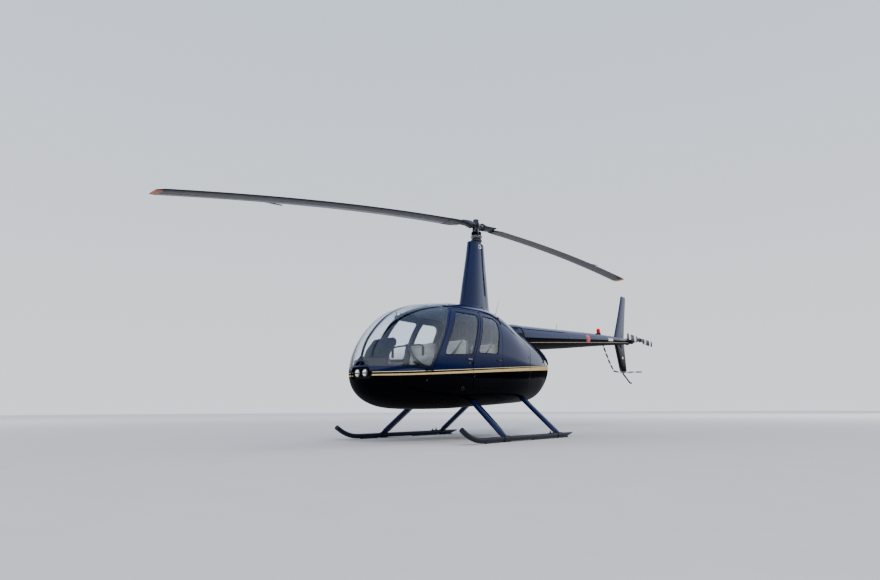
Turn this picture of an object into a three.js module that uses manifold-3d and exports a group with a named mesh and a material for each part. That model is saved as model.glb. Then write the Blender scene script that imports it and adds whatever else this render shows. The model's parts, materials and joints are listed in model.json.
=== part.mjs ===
// A light four-seat piston helicopter parked on its skids, in millimetres, +Z up.
// The pieces are built in the machine's own frame: x forward, y to port, z above the ground,
// with the origin on the ground under the rotor mast. The last lines turn the nose to -Y.
import * as THREE from "three";
import { mergeVertices } from "three/addons/utils/BufferGeometryUtils.js";
import Module from "manifold-3d";

const wasm = await Module();
wasm.setup();

// Driving dimensions.
const GAP = 0.3; // between pieces that touch
const WALL = 38; // cabin wall and door thickness
const GLASS = 6; // windscreen and window thickness
const ROTOR_RADIUS = 5030;
const ROTOR_CHORD = 254;
const BLADE_THICKNESS = 30;
const BLADE_DROOP = 455; // at the tip, at rest
const ROTOR_AZIMUTH = -3; // degrees, of the blade that points forward
const ROTOR_TILT = 4; // degrees, forward blade low, as it was left
const HUB_HEIGHT = 3300;
const TAIL_ROTOR_RADIUS = 735;
const TAIL_ROTOR_CENTRE = [-5890, 300, 1930];
const TAIL_ROTOR_ANGLE = 8; // degrees, aft blade low
const SKID_HALF_TRACK = 1090;
const SKID_RADIUS = 32;
const REACH_FORWARD = 4990.5; // tip of the forward blade
const REACH_AFT = 6626.5; // tip of the aft tail rotor blade

const navy = paint(0x1b2548, 0.25, 0.3);
const black = paint(0x0b0d12, 0.3, 0.2);
const darkTrim = paint(0x18191c, 0.6, 0.1);
const seatGrey = paint(0xb9b7b1, 0.8, 0);
const bladeGrey = paint(0x5f6164, 0.5, 0.3);
const steel = paint(0x8d9094, 0.4, 0.8);
const red = paint(0xb3201a, 0.3, 0);
const clear = new THREE.MeshStandardMaterial({
  color: 0xa9b4c0,
  roughness: 0.08,
  transparent: true,
  opacity: 0.35,
});

function paint(color, roughness, metalness) {
  return new THREE.MeshStandardMaterial({ color, roughness, metalness });
}

const radians = THREE.MathUtils.degToRad;
const craft = new THREE.Group();

// Solids and cuts.

// The closed solid of a geometry, for joining and cutting.
function solid(geometry) {
  const bare = geometry.clone();
  for (const name of Object.keys(bare.attributes)) {
    if (name !== "position") bare.deleteAttribute(name);
  }
  const merged = mergeVertices(bare, 1e-3);
  return new wasm.Manifold(
    new wasm.Mesh({
      numProp: 3,
      vertProperties: new Float32Array(merged.attributes.position.array),
      triVerts: new Uint32Array(merged.index.array),
    }),
  );
}

function geometryOf(body) {
  const mesh = body.getMesh();
  const geometry = new THREE.BufferGeometry();
  geometry.setAttribute("position", new THREE.BufferAttribute(mesh.vertProperties, 3));
  geometry.setIndex(new THREE.BufferAttribute(mesh.triVerts, 1));
  geometry.computeVertexNormals();
  return geometry;
}

function add(name, body, material, group = craft) {
  const mesh = new THREE.Mesh(geometryOf(body), material);
  mesh.name = name;
  group.add(mesh);
  return mesh;
}

function joined(bodies) {
  return bodies.reduce((sum, body) => sum.add(body));
}

function box([x0, x1], [y0, y1], [z0, z1]) {
  const geometry = new THREE.BoxGeometry(x1 - x0, y1 - y0, z1 - z0);
  geometry.translate((x0 + x1) / 2, (y0 + y1) / 2, (z0 + z1) / 2);
  return solid(geometry);
}

// A round bar from one point to another.
function bar(from, to, radius, endRadius = radius, sides = 12) {
  const a = new THREE.Vector3(...from);
  const b = new THREE.Vector3(...to);
  const geometry = new THREE.CylinderGeometry(endRadius, radius, a.distanceTo(b), sides);
  const along = b.clone().sub(a).normalize();
  geometry.applyQuaternion(
    new THREE.Quaternion().setFromUnitVectors(new THREE.Vector3(0, 1, 0), along),
  );
  geometry.translate((a.x + b.x) / 2, (a.y + b.y) / 2, (a.z + b.z) / 2);
  return solid(geometry);
}

// A closed skin over rings of points, with a flat cap at each end.
function loft(rings) {
  const count = rings[0].length;
  const positions = rings.flat().flatMap((p) => [p.x, p.y, p.z]);
  const index = [];
  for (let i = 0; i + 1 < rings.length; i++) {
    for (let k = 0; k < count; k++) {
      const a = i * count + k;
      const b = i * count + ((k + 1) % count);
      index.push(a, b, b + count, a, b + count, a + count);
    }
  }
  for (const [ring, flip] of [
    [0, true],
    [rings.length - 1, false],
  ]) {
    const centre = new THREE.Vector3();
    rings[ring].forEach((p) => centre.add(p));
    centre.divideScalar(count);
    const middle = positions.length / 3;
    positions.push(centre.x, centre.y, centre.z);
    for (let k = 0; k < count; k++) {
      const a = ring * count + k;
      const b = ring * count + ((k + 1) % count);
      if (flip) index.push(b, a, middle);
      else index.push(a, b, middle);
    }
  }
  const geometry = new THREE.BufferGeometry();
  geometry.setAttribute("position", new THREE.Float32BufferAttribute(positions, 3));
  geometry.setIndex(index);
  const body = solid(geometry);
  if (body.volume() > 0) return body;
  for (let i = 0; i < index.length; i += 3) {
    [index[i + 1], index[i + 2]] = [index[i + 2], index[i + 1]];
  }
  geometry.setIndex(index);
  return solid(geometry);
}

// A side view outline of [x, z] points, drawn out sideways between two values of y.
function sidePrism(outline, y0 = -900, y1 = 900) {
  const shape = new THREE.Shape(outline.map(([x, z]) => new THREE.Vector2(x, z)));
  const geometry = new THREE.ExtrudeGeometry(shape, { depth: y1 - y0, bevelEnabled: false });
  geometry.rotateX(Math.PI / 2);
  geometry.translate(0, y1, 0);
  return solid(geometry);
}

// The same for a front view outline of [y, z] points between two values of x.
function frontPrism(outline, x0, x1) {
  const shape = new THREE.Shape(outline.map(([y, z]) => new THREE.Vector2(y, z)));
  const geometry = new THREE.ExtrudeGeometry(shape, { depth: x1 - x0, bevelEnabled: false });
  geometry.rotateX(Math.PI / 2);
  geometry.rotateZ(Math.PI / 2);
  geometry.translate(x0, 0, 0);
  return solid(geometry);
}

// An outline moved outward by a distance, or inward where it is negative.
function grown(outline, distance) {
  const points = outline.map(([x, z]) => new THREE.Vector2(x, z));
  const turn = THREE.ShapeUtils.area(points) > 0 ? 1 : -1;
  return points.map((p, i) => {
    const before = points[(i + points.length - 1) % points.length];
    const after = points[(i + 1) % points.length];
    const a = p.clone().sub(before).normalize();
    const b = after.clone().sub(p).normalize();
    const normalA = new THREE.Vector2(a.y, -a.x).multiplyScalar(turn);
    const normalB = new THREE.Vector2(b.y, -b.x).multiplyScalar(turn);
    const middle = normalA.add(normalB).normalize();
    const slant = middle.dot(normalB);
    return [p.x + (middle.x * distance) / slant, p.y + (middle.y * distance) / slant];
  });
}

// A tube with round section along points joined by a smooth curve, or by straight runs.
function tube(points, radius, { sides = 10, steps = 24, straight = false } = {}) {
  const places = points.map((p) => new THREE.Vector3(...p));
  const curve = new THREE.CatmullRomCurve3(places, false, "centripetal");
  const centres = straight ? places : curve.getPoints(steps);
  const rings = centres.map((centre, i) => {
    const before = centres[Math.max(i - 1, 0)];
    const after = centres[Math.min(i + 1, centres.length - 1)];
    const along = after.clone().sub(before).normalize();
    const side = new THREE.Vector3(0, 1, 0);
    if (Math.abs(along.y) > 0.9) side.set(1, 0, 0);
    const up = new THREE.Vector3().crossVectors(side, along).normalize();
    side.crossVectors(along, up);
    return Array.from({ length: sides }, (_, k) => {
      const angle = (2 * Math.PI * k) / sides;
      return centre
        .clone()
        .addScaledVector(side, radius * Math.cos(angle))
        .addScaledVector(up, radius * Math.sin(angle));
    });
  });
  return loft(rings);
}

// The fuselage pod.

// Columns: x, half width, bottom, top, widest level, roundness power above and below it.
const POD_STATIONS = [
  [2475, 20, 835, 880, 858, 2, 2],
  [2462, 90, 760, 950, 858, 2, 2],
  [2430, 190, 680, 1085, 865, 2, 2.1],
  [2365, 300, 590, 1240, 880, 2, 2.2],
  [2240, 405, 505, 1402, 915, 2.05, 2.3],
  [2060, 490, 447, 1566, 960, 2.2, 2.4],
  [1800, 560, 420, 1712, 1010, 2.6, 2.9],
  [1450, 612, 413, 1822, 1045, 3, 3.5],
  [1000, 640, 420, 1878, 1060, 3.5, 4],
  [500, 645, 445, 1900, 1065, 3.25, 4],
  [0, 642, 468, 1872, 1070, 2.6, 4],
  [-400, 615, 487, 1800, 1075, 1.95, 3.6],
  [-800, 545, 505, 1696, 1080, 1.75, 3],
  [-1150, 465, 545, 1577, 1090, 1.75, 2.6],
  [-1450, 365, 645, 1485, 1095, 1.85, 2.2],
  [-1680, 255, 775, 1395, 1095, 2, 2],
  [-1850, 145, 905, 1290, 1090, 2, 2],
  [-1940, 65, 1000, 1190, 1085, 2, 2],
  [-1965, 15, 1060, 1110, 1082, 2, 2],
];
const POD_RING = 32;
const POD_STEPS = 1; // lofted sections for each station

// The station table at a place between its rows, smoothly.
function podStation(place) {
  const last = POD_STATIONS.length - 1;
  const i = Math.min(Math.floor(place), last - 1);
  const t = place - i;
  const row = (k) => POD_STATIONS[Math.min(Math.max(k, 0), last)];
  return row(i).map((value, column) => {
    const before = row(i - 1)[column];
    const next = row(i + 1)[column];
    const after = row(i + 2)[column];
    const slopeIn = (next - before) / 2;
    const slopeOut = (after - value) / 2;
    const square = t * t;
    const cube = square * t;
    return (
      value * (2 * cube - 3 * square + 1) +
      slopeIn * (cube - 2 * square + t) +
      next * (3 * square - 2 * cube) +
      slopeOut * (cube - square)
    );
  });
}

// One ring of the pod's skin, moved inward by the inset.
function podRing(place, inset) {
  const step = 0.05;
  const [x, half, low, high, wide, upper, lower] = podStation(place);
  const size = ([, w, b, t]) => w / 2 + (t - b) / 4;
  const ahead = podStation(Math.max(place - step, 0));
  const behind = podStation(Math.min(place + step, POD_STATIONS.length - 1));
  const rise = size(behind) - size(ahead);
  const run = ahead[0] - behind[0];
  const length = Math.hypot(rise, run);
  const back = (inset * rise) / length;
  const inward = (inset * run) / length;
  return Array.from({ length: POD_RING }, (_, k) => {
    const angle = (2 * Math.PI * (k + 0.5)) / POD_RING;
    const c = Math.cos(angle);
    const s = Math.sin(angle);
    const power = s > 0 ? upper : lower;
    const reach = (Math.abs(c) ** power + Math.abs(s) ** power) ** (-1 / power);
    const height = s > 0 ? high - wide : wide - low;
    return new THREE.Vector3(
      x - back,
      (half - inward) * reach * c,
      wide + (height - inward) * reach * s,
    );
  });
}

function podSolid(inset) {
  const rings = [];
  const last = (POD_STATIONS.length - 1) * POD_STEPS;
  for (let i = 0; i <= last; i++) {
    const ring = podRing(i / POD_STEPS, inset);
    const size = ring[0].distanceTo(ring[POD_RING / 2]);
    if (inset === 0 || (size > 40 && ring[0].y > 10)) rings.push(ring);
  }
  return loft(rings);
}

const pod = podSolid(0);
const podInner = podSolid(WALL);

// Side view outlines, as [x, z].
const SPLIT_LEVEL = 920; // where the roof frame and the windscreen meet the lower cabin
const WINDSCREEN = [
  [1780, SPLIT_LEVEL],
  [1672, 1150],
  [1580, 1340],
  [1455, 1590],
  [1352, 1752],
  [1090, 1905],
  [1090, 2200],
  [2700, 2200],
  [2700, SPLIT_LEVEL],
];
const DOOR_TOP = 1742;
const DOOR_SPLIT = [
  [778, DOOR_TOP],
  [970, 1150],
  [1000, 1080],
  [1000, 690],
];
const FRONT_DOOR = [
  ...DOOR_SPLIT,
  [1835, 690],
  [1825, 780],
  [1755, 910],
  [1644, 1150],
  [1552, 1340],
  [1427, 1585],
  [1308, DOOR_TOP],
];
const REAR_CORNER = [
  [300, 690],
  [300, 1620],
  [345, 1685],
  [430, 1725],
  [530, DOOR_TOP],
];
const REAR_DOOR = [...DOOR_SPLIT, ...REAR_CORNER];
const DOORWAY = [...FRONT_DOOR.slice(DOOR_SPLIT.length), ...REAR_CORNER.toReversed()];
const FRONT_WINDOW = [
  [850, 1690],
  [1262, 1690],
  [1375, 1520],
  [1500, 1300],
  [1598, 1100],
  [1590, 1085],
  [1060, 1120],
  [1045, 1140],
];
const REAR_WINDOW = [
  [722, 1690],
  [890, 1170],
  [875, 1150],
  [430, 1165],
  [405, 1180],
  [350, 1590],
  [360, 1630],
  [400, 1665],
  [460, 1690],
];
const DOOR_GAP = 10; // round the doors
// From the split line to the edge of the front door, and to that of the rear door.
const FRONT_SPLIT_GAP = 22;
const REAR_SPLIT_GAP = 8;
const COWL_FACE = -450; // the seam between cabin and aft cowl
const BULKHEAD = [150, 190];
const FLOOR_LEVEL = 600;

// The triangle of painted skin that runs up into the windscreen at the nose.
const NOSE_TRIANGLE = [
  [-150, 900],
  [150, 900],
  [0, 1045],
];
const noseTriangle = frontPrism(NOSE_TRIANGLE, 2100, 2600);
const noseRoom = frontPrism(grown(NOSE_TRIANGLE, GAP), 2100, 2600);

const doorway = sidePrism(grown(DOORWAY, DOOR_GAP)).subtract(podSolid(WALL + 8));
const windscreenZone = sidePrism(grown(WINDSCREEN, -GAP)).subtract(noseRoom);
const shell = pod.subtract(podInner);

// The fixed post behind the gap between the doors.
const POST_HALF_WIDTH = 32;
const POST_DEPTH = 48;
const postLine = [[745, 1860], ...DOOR_SPLIT.slice(1, 3), [1000, 480]];
const postBand = [
  ...postLine.map(([x, z]) => [x - POST_HALF_WIDTH, z]),
  ...postLine.map(([x, z]) => [x + POST_HALF_WIDTH, z]).toReversed(),
];
const doorPosts = pod.subtract(podSolid(WALL + POST_DEPTH)).intersect(sidePrism(postBand));

// Hinges: stacked knuckles on a vertical axis just outside the skin, the fixed one below.
const KNUCKLE_RADIUS = 6;
const KNUCKLE_HEIGHT = 22;
const HINGE_CLEARANCE = 5;
// Columns: axis x, axis y, knuckle levels with the door's edge there, length of the door's
// strap, width and depth of the fixed strap.
const HINGES = {
  front: {
    x: 1860,
    y: 566,
    levels: [
      [770, 1815],
      [880, 1755],
    ],
    arm: 170,
    strap: 24,
    reach: 60,
  },
  rear: {
    x: 1000,
    y: 656,
    levels: [
      [845, 985],
      [1005, 985],
    ],
    arm: 70,
    strap: 6,
    reach: 84,
  },
};

// The half below the level that stays with the cabin, on the port side.
function fixedKnuckle({ x, y, strap, reach }, [level]) {
  const tall = [level - KNUCKLE_HEIGHT, level];
  const round = bar([x, y, tall[0]], [x, y, tall[1]], KNUCKLE_RADIUS);
  return round.add(box([x - strap / 2, x + strap / 2], [y - reach, y], tall));
}

// The half above the level that moves with the door.
function doorKnuckle({ x, y, arm, reach }, [level, edge]) {
  const tall = [level + GAP, level + KNUCKLE_HEIGHT];
  const across = [y - reach, y + 4];
  const round = bar([x, y, tall[0]], [x, y, tall[1]], KNUCKLE_RADIUS);
  const plate = box([x - arm, x], across, tall).subtract(podSolid(-HINGE_CLEARANCE));
  const foot = box([x - arm, edge], across, tall).subtract(podSolid(HINGE_CLEARANCE));
  return joined([round, plate, foot]);
}

function mirrored(body) {
  return body.mirror([0, 1, 0]);
}

function bothSides(body) {
  return body.add(mirrored(body));
}

// The cabin.

const SEAT_BOXES = [
  { x: [960, 1440], y: [-545, 545], top: 860 },
  { x: [200, 760], y: [-545, 545], top: 860 },
];

// Flat heel plates on the floor in front of each front seat.
const HEEL_PLATE = { x: [1560, 1780], y: [130, 370], thickness: 4 };

function heelPlates() {
  const { x, y, thickness } = HEEL_PLATE;
  return bothSides(box(x, y, [FLOOR_LEVEL - 1, FLOOR_LEVEL + thickness]));
}

function cabinTub() {
  const lowerZone = box([COWL_FACE, 2600], [-900, 900], [300, SPLIT_LEVEL]);
  let body = shell.add(doorPosts).subtract(doorway);
  body = body.intersect(lowerZone.add(noseTriangle));
  const floor = podInner.intersect(box([BULKHEAD[0], 2300], [-700, 700], [300, FLOOR_LEVEL]));
  const boxes = SEAT_BOXES.map(({ x, y, top }) =>
    box(x, y, [FLOOR_LEVEL - 20, top]).intersect(podSolid(WALL + 60)),
  );
  const knuckles = Object.values(HINGES).flatMap((hinge) =>
    hinge.levels
      .filter(([level]) => level < SPLIT_LEVEL)
      .map((level) => bothSides(fixedKnuckle(hinge, level))),
  );
  const lampWall = box([LAMP_BACK - 55, LAMP_BACK], [-220, 220], [700, SPLIT_LEVEL]);
  const inside = podSolid(WALL - 2).intersect(floor.add(lampWall));
  return joined([body, inside, heelPlates(), ...boxes])
    .subtract(noseRecess)
    .add(joined(knuckles));
}

function cabinRoof() {
  const upperZone = box([COWL_FACE, 2600], [-900, 900], [SPLIT_LEVEL + GAP, 2100]);
  const upperKnuckle = bothSides(fixedKnuckle(HINGES.rear, HINGES.rear.levels[1]));
  return shell
    .add(doorPosts)
    .subtract(doorway)
    .intersect(upperZone)
    .subtract(sidePrism(grown(WINDSCREEN, GAP)))
    .add(upperKnuckle);
}

const BOW_HALF_WIDTH = 13;
const BOW_DEPTH = 26;
const bowZone = box([1000, 2600], [-BOW_HALF_WIDTH, BOW_HALF_WIDTH], [900, 2100]);
const screenSkin = podSolid(2).subtract(podSolid(2 + GLASS));

function windscreenBow() {
  return pod.subtract(podSolid(BOW_DEPTH)).intersect(bowZone).intersect(windscreenZone);
}

function windscreenPane() {
  const half = box([1000, 2600], [BOW_HALF_WIDTH + GAP, 900], [900, 2100]);
  return screenSkin.intersect(half).intersect(windscreenZone);
}

// The nose: a recess for the two landing lamps, with a wall behind them.
const LAMP_BACK = 2395;
const LAMP_LEVEL = 848;
const LAMP_RADIUS = 50;
const LAMP_SPREAD = 66;
const RECESS_RADIUS = 66;
const RECESS_SPREAD = 110;
const recessEnds = [-1, 1].map((side) =>
  bar(
    [LAMP_BACK, side * RECESS_SPREAD, LAMP_LEVEL],
    [LAMP_BACK + 200, side * RECESS_SPREAD, LAMP_LEVEL],
    RECESS_RADIUS,
    RECESS_RADIUS,
    20,
  ),
);
const recessMiddle = box(
  [LAMP_BACK, LAMP_BACK + 200],
  [-RECESS_SPREAD, RECESS_SPREAD],
  [LAMP_LEVEL - RECESS_RADIUS, LAMP_LEVEL + RECESS_RADIUS],
);
const noseRecess = joined([...recessEnds, recessMiddle]);

function noseLamps() {
  const lamps = [-1, 1].map((side) =>
    bar(
      [LAMP_BACK + GAP, side * LAMP_SPREAD, LAMP_LEVEL],
      [LAMP_BACK + 45, side * LAMP_SPREAD, LAMP_LEVEL],
      LAMP_RADIUS - 14,
      LAMP_RADIUS,
      20,
    ),
  );
  const across = [-LAMP_SPREAD, LAMP_SPREAD];
  const plate = box([LAMP_BACK + GAP, LAMP_BACK + 10], across, [LAMP_LEVEL - 20, LAMP_LEVEL + 20]);
  return joined([...lamps, plate]);
}

function cabinBulkhead() {
  return podSolid(WALL + GAP).intersect(box(BULKHEAD, [-700, 700], [FLOOR_LEVEL + GAP, 2000]));
}

function doorPanel(outline, windowOutline, hinge) {
  const panel = shell
    .intersect(sidePrism(outline, 0, 900))
    .subtract(sidePrism(windowOutline, 0, 900));
  const halves = hinge.levels.map((level) => doorKnuckle(hinge, level));
  return joined([panel, ...halves]);
}

function windowPane(windowOutline) {
  return podSolid(10)
    .subtract(podSolid(10 + GLASS))
    .intersect(sidePrism(grown(windowOutline, -GAP), 0, 900));
}

add("cabin_tub", cabinTub(), black);
add("cabin_roof", cabinRoof(), navy);
add("windscreen_bow", windscreenBow(), navy);
add("windscreen_left", windscreenPane(), clear);
add("windscreen_right", mirrored(windscreenPane()), clear);
add("nose_lamps", noseLamps(), steel);
add("cabin_bulkhead", cabinBulkhead(), darkTrim);

// The doors' own edges stand a gap inside the doorway and on each side of the split.
function withSplitMoved(outline, distance) {
  return outline.map(([x, z], i) => (i < DOOR_SPLIT.length ? [x + distance, z] : [x, z]));
}

const frontDoorEdge = withSplitMoved(FRONT_DOOR, FRONT_SPLIT_GAP);
const rearDoorEdge = withSplitMoved(REAR_DOOR, -REAR_SPLIT_GAP);
for (const [side, place] of [
  ["left", (body) => body],
  ["right", mirrored],
]) {
  add(`door_front_${side}`, place(doorPanel(frontDoorEdge, FRONT_WINDOW, HINGES.front)), navy);
  add(`window_front_${side}`, place(windowPane(FRONT_WINDOW)), clear);
  add(`door_rear_${side}`, place(doorPanel(rearDoorEdge, REAR_WINDOW, HINGES.rear)), navy);
  add(`window_rear_${side}`, place(windowPane(REAR_WINDOW)), clear);
}

// Seats, as side view outlines of cushion and back.
const FRONT_SEAT = [
  [985, 860 + GAP],
  [1435, 860 + GAP],
  [1450, 900],
  [1440, 965],
  [1080, 975],
  [1020, 1345],
  [920, 1345],
  [950, 960],
];
const REAR_SEAT = FRONT_SEAT.map(([x, z]) => [x - 705, z]);
const SEAT_SIDES = [50, 510];
for (const [row, outline] of [
  ["front", FRONT_SEAT],
  ["rear", REAR_SEAT],
]) {
  for (const [side, sign] of [
    ["left", 1],
    ["right", -1],
  ]) {
    const across = SEAT_SIDES.map((y) => sign * y).sort((a, b) => a - b);
    add(`seat_${row}_${side}`, sidePrism(outline, ...across), seatGrey);
  }
}

function instrumentConsole() {
  const hood = sidePrism(
    [
      [1955, 1215],
      [1950, 1285],
      [2000, 1310],
      [2100, 1290],
      [2220, 1160],
      [2280, 1040],
      [2200, 985],
      [2100, 1040],
      [2030, 1150],
    ],
    -140,
    140,
  );
  const pedestal = sidePrism(
    [
      [2050, 1130],
      [2160, 1010],
      [2140, FLOOR_LEVEL + GAP],
      [1900, FLOOR_LEVEL + GAP],
    ],
    -100,
    100,
  );
  return hood.add(pedestal);
}

function cyclicStick() {
  return joined([
    bar([1600, 0, FLOOR_LEVEL + GAP], [1600, 0, FLOOR_LEVEL + 50], 26),
    bar([1600, 0, FLOOR_LEVEL + 30], [1650, 0, 1200], 16),
    bar([1650, 0, 1190], [1600, 0, 1250], 14),
    tube(
      [
        [1600, -270, 1100],
        [1600, -270, 1240],
        [1600, 0, 1250],
        [1600, 270, 1240],
        [1600, 270, 1100],
      ],
      13,
      { steps: 20 },
    ),
  ]);
}

add("instrument_console", instrumentConsole(), darkTrim);
add("cyclic_stick", cyclicStick(), darkTrim);

// The tail boom.

// Columns: x, centre level, radius.
const BOOM_STATIONS = [
  [-600, 1545, 200],
  [-850, 1572, 205],
  [-1000, 1578, 205],
  [-1600, 1620, 195],
  [-2650, 1700, 176],
  [-4400, 1832, 122],
  [-5400, 1892, 82],
  [-5800, 1912, 64],
];
const BOOM_SIDES = 24;
const BOOM_WALL = 14;

function boomSolid(extra = 0, stations = BOOM_STATIONS) {
  return loft(
    stations.map(([x, level, radius]) =>
      Array.from({ length: BOOM_SIDES }, (_, k) => {
        const angle = (2 * Math.PI * k) / BOOM_SIDES;
        return new THREE.Vector3(
          x,
          (radius + extra) * Math.cos(angle),
          level + (radius + extra) * Math.sin(angle),
        );
      }),
    ),
  );
}

// The boom is a tube, open at its root inside the cowl.
function tailBoom() {
  const [[rootX, ...root], ...rest] = BOOM_STATIONS.slice(0, -1);
  return boomSolid().subtract(boomSolid(-BOOM_WALL, [[rootX + 1, ...root], ...rest]));
}

const [BOOM_ROOT, ...BOOM_REST] = BOOM_STATIONS;
const boomRoom = boomSolid(GAP, [[BOOM_ROOT[0] + 10, BOOM_ROOT[1], BOOM_ROOT[2]], ...BOOM_REST]);

// The aft cowl, with the air inlet over the boom's root and the outlet at its end.
const INLET = [
  [-720, 1570],
  [-720, 1900],
  [-1040, 1900],
  [-1000, 1480],
];
const OUTLET = [
  [-1640, 1500],
  [-1640, 1230],
  [-1830, 1150],
  [-2000, 1150],
  [-2000, 1500],
];
const OUTLET_HALF_WIDTH = 190;

function aftCowl() {
  const cowlZone = box([-2100, COWL_FACE - GAP], [-900, 900], [300, 2100]);
  const bars = podSolid(4)
    .subtract(podSolid(WALL))
    .intersect(box([-1950, -1640], [-OUTLET_HALF_WIDTH - 10, OUTLET_HALF_WIDTH + 10], [1255, 1280]));
  return shell
    .intersect(cowlZone)
    .subtract(sidePrism(OUTLET, -OUTLET_HALF_WIDTH, OUTLET_HALF_WIDTH))
    .add(bars)
    .subtract(boomRoom)
    .subtract(sidePrism(INLET, -250, 250));
}

function engineBlock() {
  const block = box([-1060, -260], [-350, 350], [640, 1150]);
  const legs = [-960, -360].flatMap((x) =>
    [-1, 1].map((side) => box([x - 40, x + 40], side > 0 ? [150, 230] : [-230, -150], [460, 660])),
  );
  return joined([block, ...legs]).intersect(podSolid(WALL + GAP));
}

add("aft_cowl", aftCowl(), navy);
add("engine_block", engineBlock(), steel);
add("tail_boom", tailBoom(), navy);

// Wing-like pieces: the mast fairing, the fins, the stabiliser and the blades.

// A streamlined outline around a centre, as offsets [along the chord, across it].
function foil(chord, thickness, count = 20) {
  return Array.from({ length: count }, (_, k) => {
    const angle = (2 * Math.PI * k) / count;
    const along = (chord / 2) * Math.cos(angle);
    const taper = 0.62 + 0.38 * Math.cos(angle);
    return [along, (thickness / 2) * Math.sin(angle) * taper * 1.25];
  });
}

const FAIRING_TOP = 3050;
// Columns: level, centre x, chord, thickness.
const FAIRING_STATIONS = [
  [1780, 61, 766, 307],
  [2300, 35, 610, 252],
  [2750, 12, 460, 205],
  [FAIRING_TOP, 0, 375, 180],
];
const SHAFT_RADIUS = 30;
const SHAFT_FOOT = FAIRING_TOP - 150;

function mastFairing() {
  const skin = loft(
    FAIRING_STATIONS.map(([level, centre, chord, thickness]) =>
      foil(chord, thickness).map(([x, y]) => new THREE.Vector3(centre + x, y, level)),
    ),
  );
  const wide = SHAFT_RADIUS + 8;
  const well = bar([0, 0, SHAFT_FOOT - GAP], [0, 0, FAIRING_TOP + 50], wide, wide, 16);
  return skin.subtract(podSolid(-GAP)).subtract(well);
}

add("mast_fairing", mastFairing(), navy);

// Columns: level, leading edge x, trailing edge x, thickness.
const UPPER_FIN = [
  [1900, -5150, -5735, 58],
  [2000, -5180, -5750, 56],
  [2850, -5562, -5960, 36],
  [2950, -5625, -5985, 20],
];
const LOWER_FIN_TIP = 1200;
const LOWER_FIN = [
  [1870, -5115, -5680, 56],
  [1280, -5335, -5728, 38],
  [LOWER_FIN_TIP, -5385, -5745, 20],
];

function fin(stations) {
  const skin = loft(
    stations.map(([level, lead, trail, thickness]) =>
      foil(lead - trail, thickness, 16).map(
        ([x, y]) => new THREE.Vector3((lead + trail) / 2 + x, y, level),
      ),
    ),
  );
  return skin.subtract(boomSolid(GAP));
}

const upperFinZone = box([-6200, -4900], [-200, 200], [1880, 3000]);
add("upper_fin", fin(UPPER_FIN).intersect(upperFinZone), navy);
add("lower_fin", fin(LOWER_FIN).intersect(box([-6200, -4900], [-200, 200], [1100, 1860])), navy);

// The stabiliser reaches out on the starboard side only.
// Columns: y, leading edge x, trailing edge x, level, thickness.
const STABILISER = [
  [-20, -4700, -5080, 1850, 40],
  [-1080, -4700, -5080, 1850, 40],
  [-1112, -4740, -5060, 1850, 20],
];

function stabiliser() {
  const skin = loft(
    STABILISER.map(([y, lead, trail, level, thickness]) =>
      foil(lead - trail, thickness, 16).map(
        ([x, z]) => new THREE.Vector3((lead + trail) / 2 + x, y, level + z),
      ),
    ),
  );
  return skin.subtract(boomSolid(GAP)).intersect(box([-5200, -4600], [-1200, -60], [1700, 2000]));
}

add("stabiliser", stabiliser(), navy);

// The tail gearbox, guard, skid, lamp and aerial.

const [TAIL_X, TAIL_Y, TAIL_Z] = TAIL_ROTOR_CENTRE;
const TAIL_HUB_DEPTH = 28;

function tailGearbox() {
  return joined([
    bar([-5800 - GAP, 0, 1912], [-5840, 0, 1912], 60, 60, 16),
    bar([-5830, 0, 1915], [-5960, 0, 1932], 48, 34, 16),
    bar([TAIL_X, 0, TAIL_Z], [TAIL_X, TAIL_Y - TAIL_HUB_DEPTH - GAP, TAIL_Z], 34, 26, 16),
  ]);
}

function tailGuard() {
  const path = [
    [-4480, 60, 1748],
    [-4640, 150, 1560],
    [-4990, 240, 1290],
    [-5140, 262, 1192],
    [-5400, 270, 1172],
    [-6180, 270, 1172],
  ];
  const knob = new THREE.SphereGeometry(20, 12, 8);
  knob.translate(-6180, 270, 1172);
  return joined([
    tube(path, 11, { steps: 26 }),
    solid(knob),
    bar([-5560, 264, 1172], [-5560, 8, 1215], 9),
  ])
    .subtract(boomSolid(GAP))
    .subtract(finRoom);
}

const finRoom = loft(
  LOWER_FIN.map(([level, lead, trail, thickness]) =>
    foil(lead - trail, thickness + 2 * GAP, 16).map(
      ([x, y]) => new THREE.Vector3((lead + trail) / 2 + x, y, level - (level < 1210 ? GAP : 0)),
    ),
  ),
);

function tailSkid() {
  return tube(
    [
      [-5550, 0, LOWER_FIN_TIP + 15],
      [-5590, 0, 1130],
      [-5680, 0, 1030],
      [-5790, 0, 970],
      [-5830, 0, 968],
    ],
    9,
    { steps: 12 },
  ).intersect(box([-6000, -5400], [-50, 50], [900, LOWER_FIN_TIP - GAP]));
}

function beacon() {
  const level = 1830;
  return joined([
    bar([-4350, 0, level], [-4350, 0, 1985], 52, 48, 16),
    bar([-4350, 0, 1980], [-4350, 0, 2075], 40, 30, 16),
  ]).subtract(boomSolid(GAP));
}

function whipAerial() {
  return joined([
    bar([-252, 150, 1780], [-252, 150, 1845], 14, 8),
    bar([-252, 150, 1838], [-379, 150, 2098], 5, 3.5, 8),
  ]).subtract(podSolid(-GAP));
}

add("tail_gearbox", tailGearbox(), darkTrim);
add("tail_rotor_guard", tailGuard(), darkTrim);
add("tail_skid", tailSkid(), darkTrim);
add("beacon", beacon(), red);
add("whip_aerial", whipAerial(), darkTrim);

// The landing gear: two skids, each on a front and a rear leg that reach up into the belly.

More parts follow.
